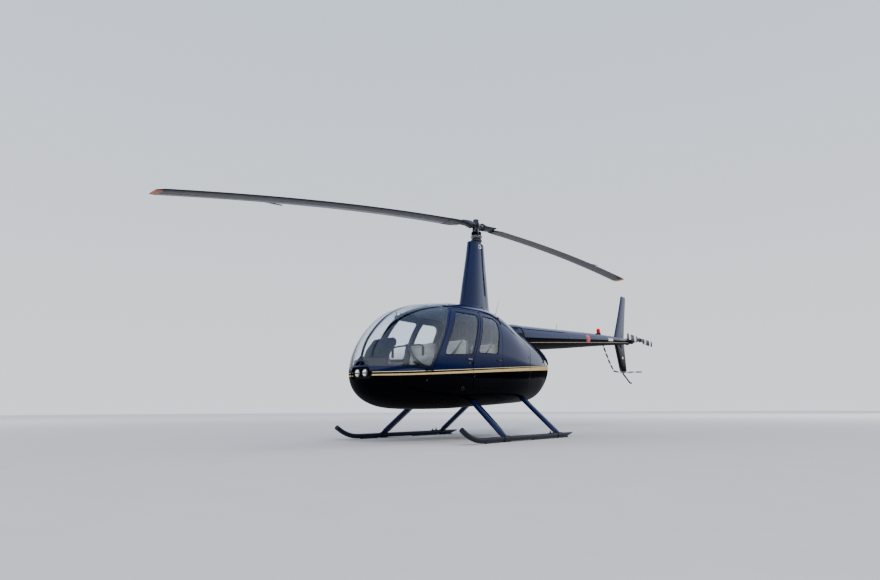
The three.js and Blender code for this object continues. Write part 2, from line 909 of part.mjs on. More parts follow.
const SKID_LEVEL = 40;
const SKID_PATH = [
  [-830, SKID_LEVEL],
  [1430, SKID_LEVEL],
  [1580, 52],
  [1730, 100],
  [1860, 172],
];
const SOCKET_RADIUS = SKID_RADIUS + 6;
const SOCKET_HALF_LENGTH = 70;
const LEG_CHORD = 96;
const LEG_THICKNESS = 46;
const LEGS = [
  { name: "front", foot: 941, top: 824, spread: 411, level: 600 },
  { name: "rear", foot: -430, top: -517, spread: 354, level: 660 },
];
const SHOES = [
  [-780, -560],
  [-300, 300],
  [1060, 1400],
];

function skid(side) {
  const y = side * SKID_HALF_TRACK;
  const path = SKID_PATH.map(([x, z]) => [x, y, z]);
  const shoes = SHOES.map((along) => box(along, [y - 20, y + 20], [0, 22]));
  const sockets = LEGS.map(({ foot }) =>
    bar(
      [foot - SOCKET_HALF_LENGTH, y, SKID_LEVEL],
      [foot + SOCKET_HALF_LENGTH, y, SKID_LEVEL],
      SOCKET_RADIUS,
      SOCKET_RADIUS,
      16,
    ),
  );
  return joined([tube(path, SKID_RADIUS, { straight: true, sides: 16 }), ...shoes, ...sockets]);
}

// A streamlined strut between two points, its chord along x.
function strut(from, to) {
  const a = new THREE.Vector3(...from);
  const b = new THREE.Vector3(...to);
  const forward = new THREE.Vector3(1, 0, 0);
  const across = new THREE.Vector3().crossVectors(b.clone().sub(a), forward).normalize();
  return loft(
    [a, b].map((centre) =>
      foil(LEG_CHORD, LEG_THICKNESS, 16).map(([x, y]) =>
        centre.clone().addScaledVector(forward, x).addScaledVector(across, y),
      ),
    ),
  );
}

function leg({ foot, top, spread, level }, side) {
  const y = side * SKID_HALF_TRACK;
  const along = [foot - 200, foot + 200];
  const [rear, front] = along.map((x) => [x, y, SKID_LEVEL]);
  const socketRoom = bar(rear, front, SOCKET_RADIUS + GAP, SOCKET_RADIUS + GAP, 16);
  return strut([foot, y, SKID_LEVEL], [top, side * spread, level])
    .subtract(socketRoom)
    .subtract(podSolid(-GAP));
}

for (const [name, side] of [
  ["left", 1],
  ["right", -1],
]) {
  add(`skid_${name}`, skid(side), darkTrim);
  for (const place of LEGS) {
    add(`leg_${place.name}_${name}`, leg(place, side), navy);
  }
}

// The main rotor: what turns with the shaft, then the teetering head with its two blades.

const PLATE_LEVEL = FAIRING_TOP + 55;
const PLATE_RADIUS = 92;
const PLATE_THICKNESS = 26;
const LINK_RADIUS = 7;
const BOLT_RADIUS = 13; // the teeter bolt
const HORN = { along: 112, across: 130, low: -50, high: -8 }; // from the teeter bolt
const LINK_TOP = HUB_HEIGHT - 88; // clear of the horns at both ends of the teeter

function shaftAxis(low, high, radius, sides = 20) {
  return bar([0, 0, low], [0, 0, high], radius, radius, sides);
}

function swashplateFixed() {
  const stub = shaftAxis(FAIRING_TOP + GAP, PLATE_LEVEL, PLATE_RADIUS * 0.75);
  const bore = shaftAxis(FAIRING_TOP, PLATE_LEVEL + 10, SHAFT_RADIUS + 8);
  return stub.subtract(bore);
}

function swashplateTurning(turn) {
  const top = PLATE_LEVEL + GAP + PLATE_THICKNESS;
  const disc = shaftAxis(PLATE_LEVEL + GAP, top, PLATE_RADIUS);
  const links = [1, -1].flatMap((side) => {
    const level = PLATE_LEVEL + GAP + PLATE_THICKNESS / 2;
    const [x, y] = [side * HORN.along, side * HORN.across];
    const arm = bar([side * 50, side * 60, level], [x, y, level], LINK_RADIUS, LINK_RADIUS, 8);
    return [arm, bar([x, y, level - LINK_RADIUS], [x, y, LINK_TOP], LINK_RADIUS, LINK_RADIUS, 8)];
  });
  const bore = shaftAxis(PLATE_LEVEL, top + 10, SHAFT_RADIUS + GAP);
  const body = joined([disc, ...links]).subtract(bore);
  const geometry = geometryOf(body);
  geometry.rotateZ(turn);
  return solid(geometry);
}

function rotorShaft() {
  const shaft = shaftAxis(SHAFT_FOOT, HUB_HEIGHT - 70, SHAFT_RADIUS);
  const fork = box([-34, 34], [-56, 56], [HUB_HEIGHT - 92, HUB_HEIGHT - 60]);
  const ears = [-1, 1].map((side) =>
    box([-26, 26], side > 0 ? [42, 56] : [-56, -42], [HUB_HEIGHT - 64, HUB_HEIGHT + 26]),
  );
  const bore = bar([0, -80, HUB_HEIGHT], [0, 80, HUB_HEIGHT], BOLT_RADIUS + 1, BOLT_RADIUS + 1, 24);
  const body = joined([shaft, fork, ...ears]).subtract(bore);
  const geometry = geometryOf(body);
  geometry.rotateZ(radians(ROTOR_AZIMUTH));
  return solid(geometry);
}

// The head's own frame: x along the blade that points forward, origin at the teeter bolt.
const head = new THREE.Group();
head.position.set(0, 0, HUB_HEIGHT);
head.rotation.set(0, radians(ROTOR_TILT), radians(ROTOR_AZIMUTH), "ZYX");
craft.add(head);

const GRIP_START = 175;
const GRIP_END = 420;
const BLADE_START = GRIP_END + GAP;

function rotorHub() {
  const block = box([-170, 170], [-34, 34], [-38, 34]);
  const bolt = bar([0, -66, 0], [0, 66, 0], BOLT_RADIUS, BOLT_RADIUS, 24);
  const cap = bar([0, 0, 30], [0, 0, 78], 34, 24, 16);
  const grips = [1, -1].flatMap((side) => {
    const [x, y] = [side * HORN.along, side * HORN.across];
    return [
      bar([side * 120, 0, 0], [side * 200, 0, 0], 62, 58, 16),
      bar([side * GRIP_START, 0, 0], [side * GRIP_END, 0, 0], 52, 42, 16),
      box([x - 20, x + 20], [Math.min(0, y), Math.max(0, y)], [HORN.high - 24, HORN.high]),
      bar([x, y, HORN.low], [x, y, HORN.high], 16),
    ];
  });
  return joined([block, cap, ...grips, bolt]);
}

// Columns: share of the radius, chord, thickness, twist in degrees.
const BLADE_STATIONS = [
  [BLADE_START / ROTOR_RADIUS, 110, 44, 6],
  [0.13, ROTOR_CHORD, BLADE_THICKNESS, 6],
  [0.3, ROTOR_CHORD, BLADE_THICKNESS, 4],
  [0.5, ROTOR_CHORD, BLADE_THICKNESS, 2.5],
  [0.7, ROTOR_CHORD, BLADE_THICKNESS, 1],
  [0.86, ROTOR_CHORD, BLADE_THICKNESS, 0],
  [0.985, ROTOR_CHORD, BLADE_THICKNESS, -1],
  [1, 190, 14, -1],
];

function bladeDroop(share) {
  return -BLADE_DROOP * (0.35 * share + 0.65 * share * share);
}

function mainBlade() {
  return loft(
    BLADE_STATIONS.map(([share, chord, thickness, twist]) =>
      foil(chord, thickness, 16).map(([along, up]) => {
        const angle = radians(twist);
        return new THREE.Vector3(
          share * ROTOR_RADIUS,
          along * Math.cos(angle) - up * Math.sin(angle),
          bladeDroop(share) + along * Math.sin(angle) + up * Math.cos(angle),
        );
      }),
    ),
  );
}

add("swashplate_fixed", swashplateFixed(), steel);
add("swashplate_turning", swashplateTurning(radians(ROTOR_AZIMUTH)), steel);
add("rotor_shaft", rotorShaft(), steel);
add("rotor_hub", rotorHub(), steel, head);
[0, 180].forEach((turn, i) => {
  const mesh = add(`main_blade_${i + 1}`, mainBlade(), bladeGrey, head);
  mesh.rotation.z = radians(turn);
});

// The tail rotor: a hub and two blades, turning about a sideways axis.

function tailRotor() {
  const stations = [
    [0.16, 70, 26],
    [0.26, 132, 20],
    [0.6, 132, 17],
    [0.97, 132, 15],
    [1, 118, 8],
  ];
  const blades = [1, -1].map((side) =>
    loft(
      stations.map(([share, chord, thickness]) =>
        foil(chord, thickness, 12).map(
          ([along, across]) =>
            new THREE.Vector3(side * share * TAIL_ROTOR_RADIUS, across - along * 0.14, side * along),
        ),
      ),
    ),
  );
  const grips = bar([-150, 0, 0], [150, 0, 0], 26, 26, 12);
  const hub = bar([0, -TAIL_HUB_DEPTH, 0], [0, 34, 0], 46, 36, 16);
  return joined([...blades, grips, hub]);
}

const tailRotorMesh = add("tail_rotor", tailRotor(), bladeGrey);
tailRotorMesh.position.set(TAIL_X, TAIL_Y, TAIL_Z);
tailRotorMesh.rotation.y = radians(-TAIL_ROTOR_ANGLE);

// Turned so that the nose points to -Y and port is +X, with the origin under the middle.
const model = new THREE.Group();
const turned = new THREE.Group();
turned.rotation.z = -Math.PI / 2;
turned.position.y = -(REACH_AFT - REACH_FORWARD) / 2;
turned.add(craft);
model.add(turned);

export default model;
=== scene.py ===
import json
import math

import bmesh
import bpy
import numpy as np
from mathutils import Matrix, Vector


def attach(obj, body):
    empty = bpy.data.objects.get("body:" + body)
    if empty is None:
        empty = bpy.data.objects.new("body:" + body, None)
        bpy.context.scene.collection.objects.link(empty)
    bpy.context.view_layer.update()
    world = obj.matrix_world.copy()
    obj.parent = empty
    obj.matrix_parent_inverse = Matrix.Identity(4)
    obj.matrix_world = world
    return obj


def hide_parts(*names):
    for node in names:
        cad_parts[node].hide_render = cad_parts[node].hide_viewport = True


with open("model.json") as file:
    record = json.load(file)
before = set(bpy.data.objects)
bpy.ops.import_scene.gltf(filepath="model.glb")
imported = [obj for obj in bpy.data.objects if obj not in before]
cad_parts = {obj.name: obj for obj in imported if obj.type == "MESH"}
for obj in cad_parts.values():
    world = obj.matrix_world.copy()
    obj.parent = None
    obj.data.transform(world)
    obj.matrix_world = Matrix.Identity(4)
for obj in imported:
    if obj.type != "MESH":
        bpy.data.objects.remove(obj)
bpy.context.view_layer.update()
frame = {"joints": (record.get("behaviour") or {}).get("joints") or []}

JOINTS = {joint["name"]: joint for joint in frame["joints"]}
MAST_Y = JOINTS["main_rotor_spin"]["pos_m"][1]
HUB_HEIGHT = JOINTS["main_rotor_teeter"]["pos_m"][2]
TAIL_HUB = JOINTS["tail_rotor_spin"]["pos_m"]
SIDES = (("left", 1), ("right", -1))
X, Y, Z = np.eye(3)


def row(points):
    """Points of the machine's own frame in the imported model's frame."""
    x, y, z = np.asarray(points, float).reshape(-1, 3).T
    return np.stack([y, MAST_Y - x, z], axis=1)


# Shapes: points and faces before they become a mesh.


class Shape:
    def __init__(self, points, faces):
        self.points = np.asarray(points, float).reshape(-1, 3)
        self.faces = [tuple(int(i) for i in face) for face in faces]

    def shifted(self, *offset):
        return Shape(self.points + np.array(offset, float), self.faces)

    def mirrored(self):
        """The same on the other side of the machine."""
        return Shape(self.points * (1, -1, 1), [face[::-1] for face in self.faces])

    def turned(self, matrix):
        return Shape(self.points @ np.array(matrix, float).T, self.faces)

    def outward(self):
        """The same with its faces pointing out."""
        fans = [(face[0], b, c) for face in self.faces for b, c in zip(face[1:-1], face[2:])]
        a, b, c = self.points[np.array(fans)].transpose(1, 0, 2)
        volume = np.sum(a * np.cross(b, c))
        return self if volume > 0 else Shape(self.points, [f[::-1] for f in self.faces])


def joined(*shapes):
    points, faces, count = [], [], 0
    for shape in shapes:
        points.append(shape.points)
        faces += [tuple(i + count for i in face) for face in shape.faces]
        count += len(shape.points)
    return Shape(np.concatenate(points), faces)


def both(shape):
    return joined(shape, shape.mirrored())


def for_side(shape, sign):
    return shape if sign > 0 else shape.mirrored()


def skin(rings):
    """A surface over rings of points, closed round each ring and over its two ends."""
    rings = np.asarray(rings, float)
    rows, columns = rings.shape[:2]
    faces = []
    for i in range(rows - 1):
        for k in range(columns):
            a, b = i * columns + k, i * columns + (k + 1) % columns
            faces.append((a, b, b + columns, a + columns))
    faces.append(tuple(range(columns))[::-1])
    faces.append(tuple(range((rows - 1) * columns, rows * columns)))
    return Shape(rings.reshape(-1, 3), faces).outward()


def frame_of(along):
    """Two directions square to a direction."""
    along = np.asarray(along, float) / np.linalg.norm(along)
    helper = np.array((0, 0, 1.0)) if abs(along[2]) < 0.9 else np.array((1.0, 0, 0))
    side = np.cross(helper, along)
    side /= np.linalg.norm(side)
    return side, np.cross(along, side)


def circle(count, start=0.0):
    angles = start + 2 * math.pi * np.arange(count) / count
    return np.cos(angles), np.sin(angles)


POINT = 1e-5  # radius that stands for a point on the axis


def turned_part(profile, origin, axis, sides=24):
    """A round part from (distance along the axis, radius) pairs."""
    axis = np.asarray(axis, float) / np.linalg.norm(axis)
    side, up = frame_of(axis)
    cos, sin = circle(sides)
    round_it = np.outer(cos, side) + np.outer(sin, up)
    return skin([
        np.asarray(origin) + axis * along + max(radius, POINT) * round_it
        for along, radius in profile
    ])


def rod(start, end, radius, sides=20, rim=0.15, end_radius=None):
    """A round bar with softened rims."""
    start, end = np.asarray(start, float), np.asarray(end, float)
    length = np.linalg.norm(end - start)
    last = radius if end_radius is None else end_radius
    edge = min(rim * radius, 0.3 * length)
    profile = [
        (0, radius - edge), (edge, radius), (length - edge, last), (length, last - edge)
    ]
    return turned_part(profile, start, end - start, sides)


def smooth_path(points, steps=8):
    """A curve through points, in short steps."""
    points = np.asarray(points, float)
    padded = np.concatenate([[2 * points[0] - points[1]], points, [2 * points[-1] - points[-2]]])
    out = []
    for a, b, c, d in zip(padded, padded[1:], padded[2:], padded[3:]):
        for t in np.arange(steps) / steps:
            out.append(
                0.5 * (2 * b + (c - a) * t + (2 * a - 5 * b + 4 * c - d) * t**2
                       + (3 * b - a - 3 * c + d) * t**3)
            )
    return np.array(out + [points[-1]])


DOME_ANGLES = (0.5, 1.0, 1.4)


def domed_end(ring, centre, along, r):
    """Rings that close a tube's end as a dome."""
    return [
        centre + (ring - centre) * math.cos(a) + along * r * math.sin(a) for a in DOME_ANGLES
    ]


def tube(path, radius, sides=14, dome=True):
    """A round tube along a path. The radius is one number, or one for each point."""
    path = np.asarray(path, float)
    radii = np.broadcast_to(radius, len(path)).astype(float)
    tangents = np.gradient(path, axis=0)
    tangents /= np.linalg.norm(tangents, axis=1)[:, None]
    side, _ = frame_of(tangents[0])
    cos, sin = circle(sides)
    rings = []
    for centre, along, r in zip(path, tangents, radii):
        side = side - along * (side @ along)
        side /= np.linalg.norm(side)
        up = np.cross(along, side)
        rings.append(centre + r * (np.outer(cos, side) + np.outer(sin, up)))
    if dome:
        first = domed_end(rings[0], path[0], -tangents[0], radii[0])[::-1]
        rings = first + rings + domed_end(rings[-1], path[-1], tangents[-1], radii[-1])
    return skin(rings)


def rounded(outline, radius, steps=6):
    """An outline with each corner as an arc. The radius is one number, or one for each corner."""
    corners = np.asarray(outline, float)
    radii = np.broadcast_to(radius, len(corners))
    points = []
    for i, corner in enumerate(corners):
        before, after = corners[i - 1] - corner, corners[(i + 1) % len(corners)] - corner
        lengths = np.linalg.norm(before), np.linalg.norm(after)
        a, b = before / lengths[0], after / lengths[1]
        half = math.acos(np.clip(a @ b, -1, 1)) / 2
        reach = min(radii[i] / math.tan(half), 0.48 * min(lengths)) if half < 1.55 else 0
        if reach < 1e-5:
            points.append(corner)
            continue
        for t in np.linspace(0, 1, steps):
            points.append(
                (1 - t) ** 2 * (corner + a * reach) + 2 * t * (1 - t) * corner
                + t**2 * (corner + b * reach)
            )
    return np.array(points)


def grown(outline, distance):
    """An outline moved outward, or inward where the distance is negative."""
    points = np.asarray(outline, float)
    ahead, behind = np.roll(points, -1, axis=0), np.roll(points, 1, axis=0)
    area = np.sum(points[:, 0] * ahead[:, 1] - ahead[:, 0] * points[:, 1])
    normals = []
    for step in (points - behind, ahead - points):
        step = step / np.linalg.norm(step, axis=1)[:, None]
        normals.append(np.stack([step[:, 1], -step[:, 0]], 1) * np.sign(area))
    middle = normals[0] + normals[1]
    middle /= np.linalg.norm(middle, axis=1)[:, None]
    slant = np.maximum(np.sum(middle * normals[1], axis=1), 0.35)
    return points + middle * distance / slant[:, None]


PLANES = {"x": (1, 2, 0), "y": (0, 2, 1), "z": (0, 1, 2)}


def slab(outline, low, high, axis="y", bevel=0.0):
    """A flat outline drawn out along an axis, with softened edges."""
    first, second, third = PLANES[axis]
    layers = [(0, low), (0, high)]
    if bevel:
        layers = [
            (-bevel, low), (-0.3 * bevel, low + 0.3 * bevel), (0, low + bevel),
            (0, high - bevel), (-0.3 * bevel, high - 0.3 * bevel), (-bevel, high),
        ]
    rings = []
    for inset, level in layers:
        flat = grown(outline, inset) if inset else np.asarray(outline, float)
        ring = np.zeros((len(flat), 3))
        ring[:, first], ring[:, second], ring[:, third] = flat[:, 0], flat[:, 1], level
        rings.append(ring)
    return skin(rings)


def block(low, high, bevel=0.004, corner=None):
    """A box between two corners, with round upright corners and softened edges."""
    (x0, y0, z0), (x1, y1, z1) = low, high
    outline = [(x0, y0), (x1, y0), (x1, y1), (x0, y1)]
    corner = 2 * bevel if corner is None else corner
    return slab(rounded(outline, corner, 5), z0, z1, "z", bevel)


def scratch(shape):
    mesh = bpy.data.meshes.new("scratch")
    mesh.from_pydata(shape.points.tolist(), [], shape.faces)
    weld(mesh)
    made = bpy.data.objects.new("scratch", mesh)
    bpy.context.scene.collection.objects.link(made)
    return made


def places(mesh):
    """Where a mesh's points are."""
    points = np.empty(len(mesh.vertices) * 3)
    mesh.vertices.foreach_get("co", points)
    return points.reshape(-1, 3)


def evaluated(made):
    return made.evaluated_get(bpy.context.evaluated_depsgraph_get())


SAME_PLACE, SHORTEST_EDGE = 2e-5, 1e-6


def weld(mesh):
    work = bmesh.new()
    work.from_mesh(mesh)
    bmesh.ops.remove_doubles(work, verts=work.verts, dist=SAME_PLACE)
    bmesh.ops.dissolve_degenerate(work, edges=work.edges, dist=SHORTEST_EDGE)
    work.to_mesh(mesh)
    work.free()


def carved(shape, *steps):
    """The shape after boolean steps, each an operation with its tool."""
    target = scratch(shape)
    tools = []
    for operation, tool in steps:
        tools.append(scratch(tool))
        modifier = target.modifiers.new("carve", "BOOLEAN")
        modifier.operation = operation
        modifier.solver = "MANIFOLD"
        modifier.object = tools[-1]
    mesh = bpy.data.meshes.new_from_object(evaluated(target))
    result = Shape(places(mesh), [tuple(face.vertices) for face in mesh.polygons])
    for made in [target, *tools]:
        old = made.data
        bpy.data.objects.remove(made)
        bpy.data.meshes.remove(old)
    bpy.data.meshes.remove(mesh)
    return result


def spline(knots, values, at):
    """A natural cubic spline through the rows of values."""
    count, gaps = len(knots), np.diff(knots)
    system, right = np.zeros((count, count)), np.zeros((count, values.shape[1]))
    system[0, 0] = system[-1, -1] = 1
    slopes = np.diff(values, axis=0) / gaps[:, None]
    for i in range(1, count - 1):
        system[i, i - 1 : i + 2] = gaps[i - 1], 2 * (gaps[i - 1] + gaps[i]), gaps[i]
        right[i] = 6 * (slopes[i] - slopes[i - 1])
    bend = np.linalg.solve(system, right)
    i = np.clip(np.searchsorted(knots, at, side="right") - 1, 0, count - 2)
    a, b, h = (knots[i + 1] - at)[:, None], (at - knots[i])[:, None], gaps[i][:, None]
    return (
        (bend[i] * a**3 + bend[i + 1] * b**3) / (6 * h)
        + (values[i] / h - bend[i] * h / 6) * a
        + (values[i + 1] / h - bend[i + 1] * h / 6) * b
    )


# The fuselage pod.

# Columns: x, half width, bottom, top, widest level, roundness power above and below it.
POD_STATIONS = np.array([
    (2.477, 0.0, 0.858, 0.858, 0.858, 2, 2),
    (2.475, 0.02, 0.835, 0.88, 0.858, 2, 2),
    (2.462, 0.09, 0.76, 0.95, 0.858, 2, 2),
    (2.43, 0.19, 0.68, 1.085, 0.865, 2, 2.1),
    (2.365, 0.3, 0.59, 1.24, 0.88, 2, 2.2),
    (2.24, 0.405, 0.505, 1.402, 0.915, 2.05, 2.3),
    (2.06, 0.49, 0.447, 1.566, 0.96, 2.2, 2.4),
    (1.8, 0.56, 0.42, 1.712, 1.01, 2.6, 2.9),
    (1.45, 0.612, 0.413, 1.822, 1.045, 3, 3.5),
    (1.0, 0.64, 0.42, 1.878, 1.06, 3.5, 4),
    (0.5, 0.645, 0.445, 1.9, 1.065, 3.25, 4),
    (0.0, 0.642, 0.468, 1.872, 1.07, 2.6, 4),
    (-0.4, 0.615, 0.487, 1.8, 1.075, 1.95, 3.6),
    (-0.8, 0.545, 0.505, 1.696, 1.08, 1.75, 3),
    (-1.15, 0.465, 0.545, 1.577, 1.09, 1.75, 2.6),
    (-1.45, 0.365, 0.645, 1.485, 1.095, 1.85, 2.2),
    (-1.68, 0.255, 0.775, 1.395, 1.095, 2, 2),
    (-1.85, 0.145, 0.905, 1.29, 1.09, 2, 2),
    (-1.94, 0.065, 1.0, 1.19, 1.085, 2, 2),
    (-1.965, 0.015, 1.06, 1.11, 1.082, 2, 2),
    (-1.967, 0.0, 1.082, 1.082, 1.082, 2, 2),
])
POD_ROWS, POD_SIDES = 150, 144
POD_SAMPLES = 6000
SKIN_DEPTH = 0.032
GAUGE_STEP = 0.002


def pod_knots():
    x, half, low, high = POD_STATIONS.T[:4]
    steps = np.sqrt(np.diff(x) ** 2 + np.diff(half) ** 2 + np.diff((high - low) / 2) ** 2)
    return np.concatenate([[0], np.cumsum(steps)])


KNOTS = pod_knots()
POD_DENSE = spline(KNOTS, POD_STATIONS, np.linspace(0, KNOTS[-1], POD_SAMPLES))
POD_DENSE = POD_DENSE[np.argsort(POD_DENSE[:, 0])]


def pod_columns(x):
    return [np.interp(x, POD_DENSE[:, 0], POD_DENSE[:, i]) for i in range(1, 7)]


def pod_gauge(points):
    """1 on the pod's skin, less inside it."""
    x, y, z = points.T
    half, low, high, wide, upper, lower = pod_columns(x)
    power = np.where(z > wide, upper, lower)
    height = np.where(z > wide, high - wide, wide - low)
    across = np.abs(y / np.maximum(half, 1e-4)) ** power
    return (across + np.abs((z - wide) / np.maximum(height, 1e-4)) ** power) ** (1 / power)


def pod_normals(points):
    points = np.asarray(points, float).reshape(-1, 3)
    slope = np.stack([
        pod_gauge(points + GAUGE_STEP * unit) - pod_gauge(points - GAUGE_STEP * unit)
        for unit in (X, Y, Z)
    ], axis=1)
    return slope / np.maximum(np.linalg.norm(slope, axis=1), 1e-9)[:, None]


def pod_body(depth):
    """The pod's skin from nose to tail, moved inward by the depth."""
    table = spline(KNOTS, POD_STATIONS, np.linspace(0, KNOTS[-1], POD_ROWS))[1:-1]
    cos, sin = circle(POD_SIDES, math.pi / POD_SIDES)
    rings = []
    for x, half, low, high, wide, upper, lower in table:
        power = np.where(sin > 0, upper, lower)
        reach = (np.abs(cos) ** power + np.abs(sin) ** power) ** (-1 / power)
        height = np.where(sin > 0, high - wide, wide - low)
        across, level = half * reach * cos, wide + height * reach * sin
        rings.append(np.stack([np.full(POD_SIDES, x), across, level], 1))
    rings = np.array(rings)
    if depth:
        flat = rings.reshape(-1, 3)
        rings = (flat - depth * pod_normals(flat)).reshape(rings.shape)
    return skin(rings)


def pod_shell(outer, inner):
    """The layer of the pod's skin between two depths."""
    hollow = pod_body(inner)
    return joined(pod_body(outer), Shape(hollow.points, [face[::-1] for face in hollow.faces]))


def pod_side(x, z):
    """Points on the port side of the pod's skin at places in the side view."""
    x, z = np.broadcast_arrays(np.asarray(x, float), np.asarray(z, float))
    half, low, high, wide, upper, lower = pod_columns(x)
    power = np.where(z > wide, upper, lower)
    height = np.where(z > wide, high - wide, wide - low)
    share = np.clip(np.abs((z - wide) / height), 0, 1)
    return np.stack([x, half * (1 - share**power) ** (1 / power), z], 1)


def pod_roof(x, y):
    """Points on the top of the pod at places in the plan view."""
    x, y = np.broadcast_arrays(np.asarray(x, float), np.asarray(y, float))
    half, _, high, wide, upper, _ = pod_columns(x)
    share = np.clip(np.abs(y / half), 0, 1)
    return np.stack([x, y, wide + (high - wide) * (1 - share**upper) ** (1 / upper)], 1)


# Materials.


def rgb(value):
    return (*value, 1.0)


def toned(colour, share):
    return tuple(min(1, share * c) for c in colour)


def new_material(name, base, roughness=0.4, metallic=0.0, **sockets):
    made = bpy.data.materials.new(name)
    made.use_nodes = True
    shader = made.node_tree.nodes["Principled BSDF"]
    shader.inputs["Base Color"].default_value = rgb(base)
    shader.inputs["Roughness"].default_value = roughness
    shader.inputs["Metallic"].default_value = metallic
    for socket, value in sockets.items():
        shader.inputs[socket.replace("_", " ")].default_value = value
    return made


class Nodes:
    """Short words for the node tree of one material."""

    def __init__(self, material):
        self.tree = material.node_tree
        self.shader = self.tree.nodes["Principled BSDF"]
        self.place = self.tree.nodes.new("ShaderNodeTexCoord").outputs["Object"]

    def node(self, kind, **settings):
        made = self.tree.nodes.new("ShaderNode" + kind)
        for name, value in settings.items():
            setattr(made, name, value)
        return made

    def link(self, source, target):
        if isinstance(source, (int, float)):
            target.default_value = source
        else:
            self.tree.links.new(source, target)

    def math(self, operation, a, b=0.0):
        made = self.node("Math", operation=operation)
        for value, socket in zip((a, b), made.inputs):
            self.link(value, socket)
        return made.outputs[0]

    def add(self, a, b):
        return self.math("ADD", a, b)

    def less(self, a, b):
        return self.math("SUBTRACT", a, b)

    def times(self, a, b):
        return self.math("MULTIPLY", a, b)

    def distance(self, a, b):
        """How far a place is out, from its offsets along two axes."""
        return self.math("SQRT", self.add(self.times(a, a), self.times(b, b)))

    def axes(self):
        """x, y and z of the machine's own frame."""
        split = self.node("SeparateXYZ")
        self.link(self.place, split.inputs[0])
        across, along, up = split.outputs
        return self.less(MAST_Y, along), across, up

    def noise(self, scale, detail=2.0, stretch=None):
        made = self.node("TexNoise")
        made.inputs["Scale"].default_value = scale
        made.inputs["Detail"].default_value = detail
        place = self.place
        if stretch:
            mapping = self.node("Mapping")
            mapping.inputs["Scale"].default_value = stretch
            self.link(place, mapping.inputs["Vector"])
            place = mapping.outputs[0]
        self.link(place, made.inputs["Vector"])
        return made.outputs["Fac"]

    def cells(self, scale):
        made = self.node("TexVoronoi")
        made.inputs["Scale"].default_value = scale
        self.link(self.place, made.inputs["Vector"])
        return made.outputs["Distance"]

    def ramp(self, value, low, high):
        """0 below low and 1 above high."""
        made = self.node("MapRange", interpolation_type="SMOOTHSTEP")
        self.link(value, made.inputs["Value"])
        made.inputs["From Min"].default_value = low
        made.inputs["From Max"].default_value = high
        return made.outputs["Result"]

    def span(self, value, low, high):
        """A value between 0 and 1 spread over another range."""
        made = self.node("MapRange")
        self.link(value, made.inputs["Value"])
        made.inputs["To Min"].default_value = low
        made.inputs["To Max"].default_value = high
        return made.outputs["Result"]

    def mix(self, share, a, b):
        made = self.node("Mix", data_type="RGBA")
        sockets = [s for s in made.inputs if s.enabled]
        for value, socket in zip((share, a, b), sockets):
            if isinstance(value, tuple):
                socket.default_value = rgb(value)
            else:
                self.link(value, socket)
        return [s for s in made.outputs if s.enabled][0]

    def bump(self, height, strength, distance=0.001):
        made = self.node("Bump")
        made.inputs["Strength"].default_value = strength
        made.inputs["Distance"].default_value = distance
        self.link(height, made.inputs["Height"])
        self.link(made.outputs[0], self.shader.inputs["Normal"])

    def colour(self, value):
        self.link(value, self.shader.inputs["Base Color"])

    def rough(self, value):
        self.link(value, self.shader.inputs["Roughness"])


NAVY = (0.005, 0.011, 0.05)
NAVY_LIGHT = (0.009, 0.018, 0.08)
NIGHT = (0.0012, 0.0014, 0.0028)
GOLD = (0.66, 0.50, 0.25)
PALE_GOLD = (0.78, 0.66, 0.42)
# A darker copy of the pale gold for the boom's thin line: painted shade, as the line lies dimmer
# there than on the cabin.
SHADED_LINE_GOLD = (0.40, 0.34, 0.22)
COAT = {"Coat_Weight": 1.0, "Coat_Roughness": 0.02, "Coat_IOR": 1.5, "Specular_IOR_Level": 0.0}
LOWER_COAT = 0.13
FLAKE_SHARE, TONE_SHARE = 0.3, 0.35
DUST, DUST_SHARE = (0.18, 0.165, 0.14), 0.08
EDGE = 0.0012  # half width of a painted edge's blur


def flaky_paint(n, dark, light):
    """Paint with fine flakes and a slight unevenness of tone."""
    flakes = n.ramp(n.noise(900, 1), 0.45, 0.7)
    tone = n.ramp(n.noise(1.2, 2), 0.3, 0.7)
    share = n.add(n.times(flakes, FLAKE_SHARE), n.times(tone, TONE_SHARE))
    return n.mix(share, dark, light)


def dusty(n, colour, top):
    """Road dust that fades out towards a level above the ground."""
    _, _, up = n.axes()
    share = n.times(n.times(n.ramp(up, top, 0.0), n.noise(9, 4)), DUST_SHARE)
    return n.mix(share, colour, DUST)


def coat_wear(n, smoothest, roughest):
    """The uneven gloss of painted skin."""
    n.rough(n.span(n.noise(14, 3), smoothest, roughest))
    n.bump(n.noise(60, 2), 0.06, 0.0004)


STRIPE_START, STRIPE_BASE, STRIPE_SLOPE, STRIPE_BEND = 2.42, 0.795, 0.0715, 0.1
BAND_HALF, BAND_GROWTH, BAND_BEND = 0.0095, 0.0035, 0.0006
LINE_RISE, LINE_GROWTH, LINE_HALF = 0.034, 0.0016, 0.0036


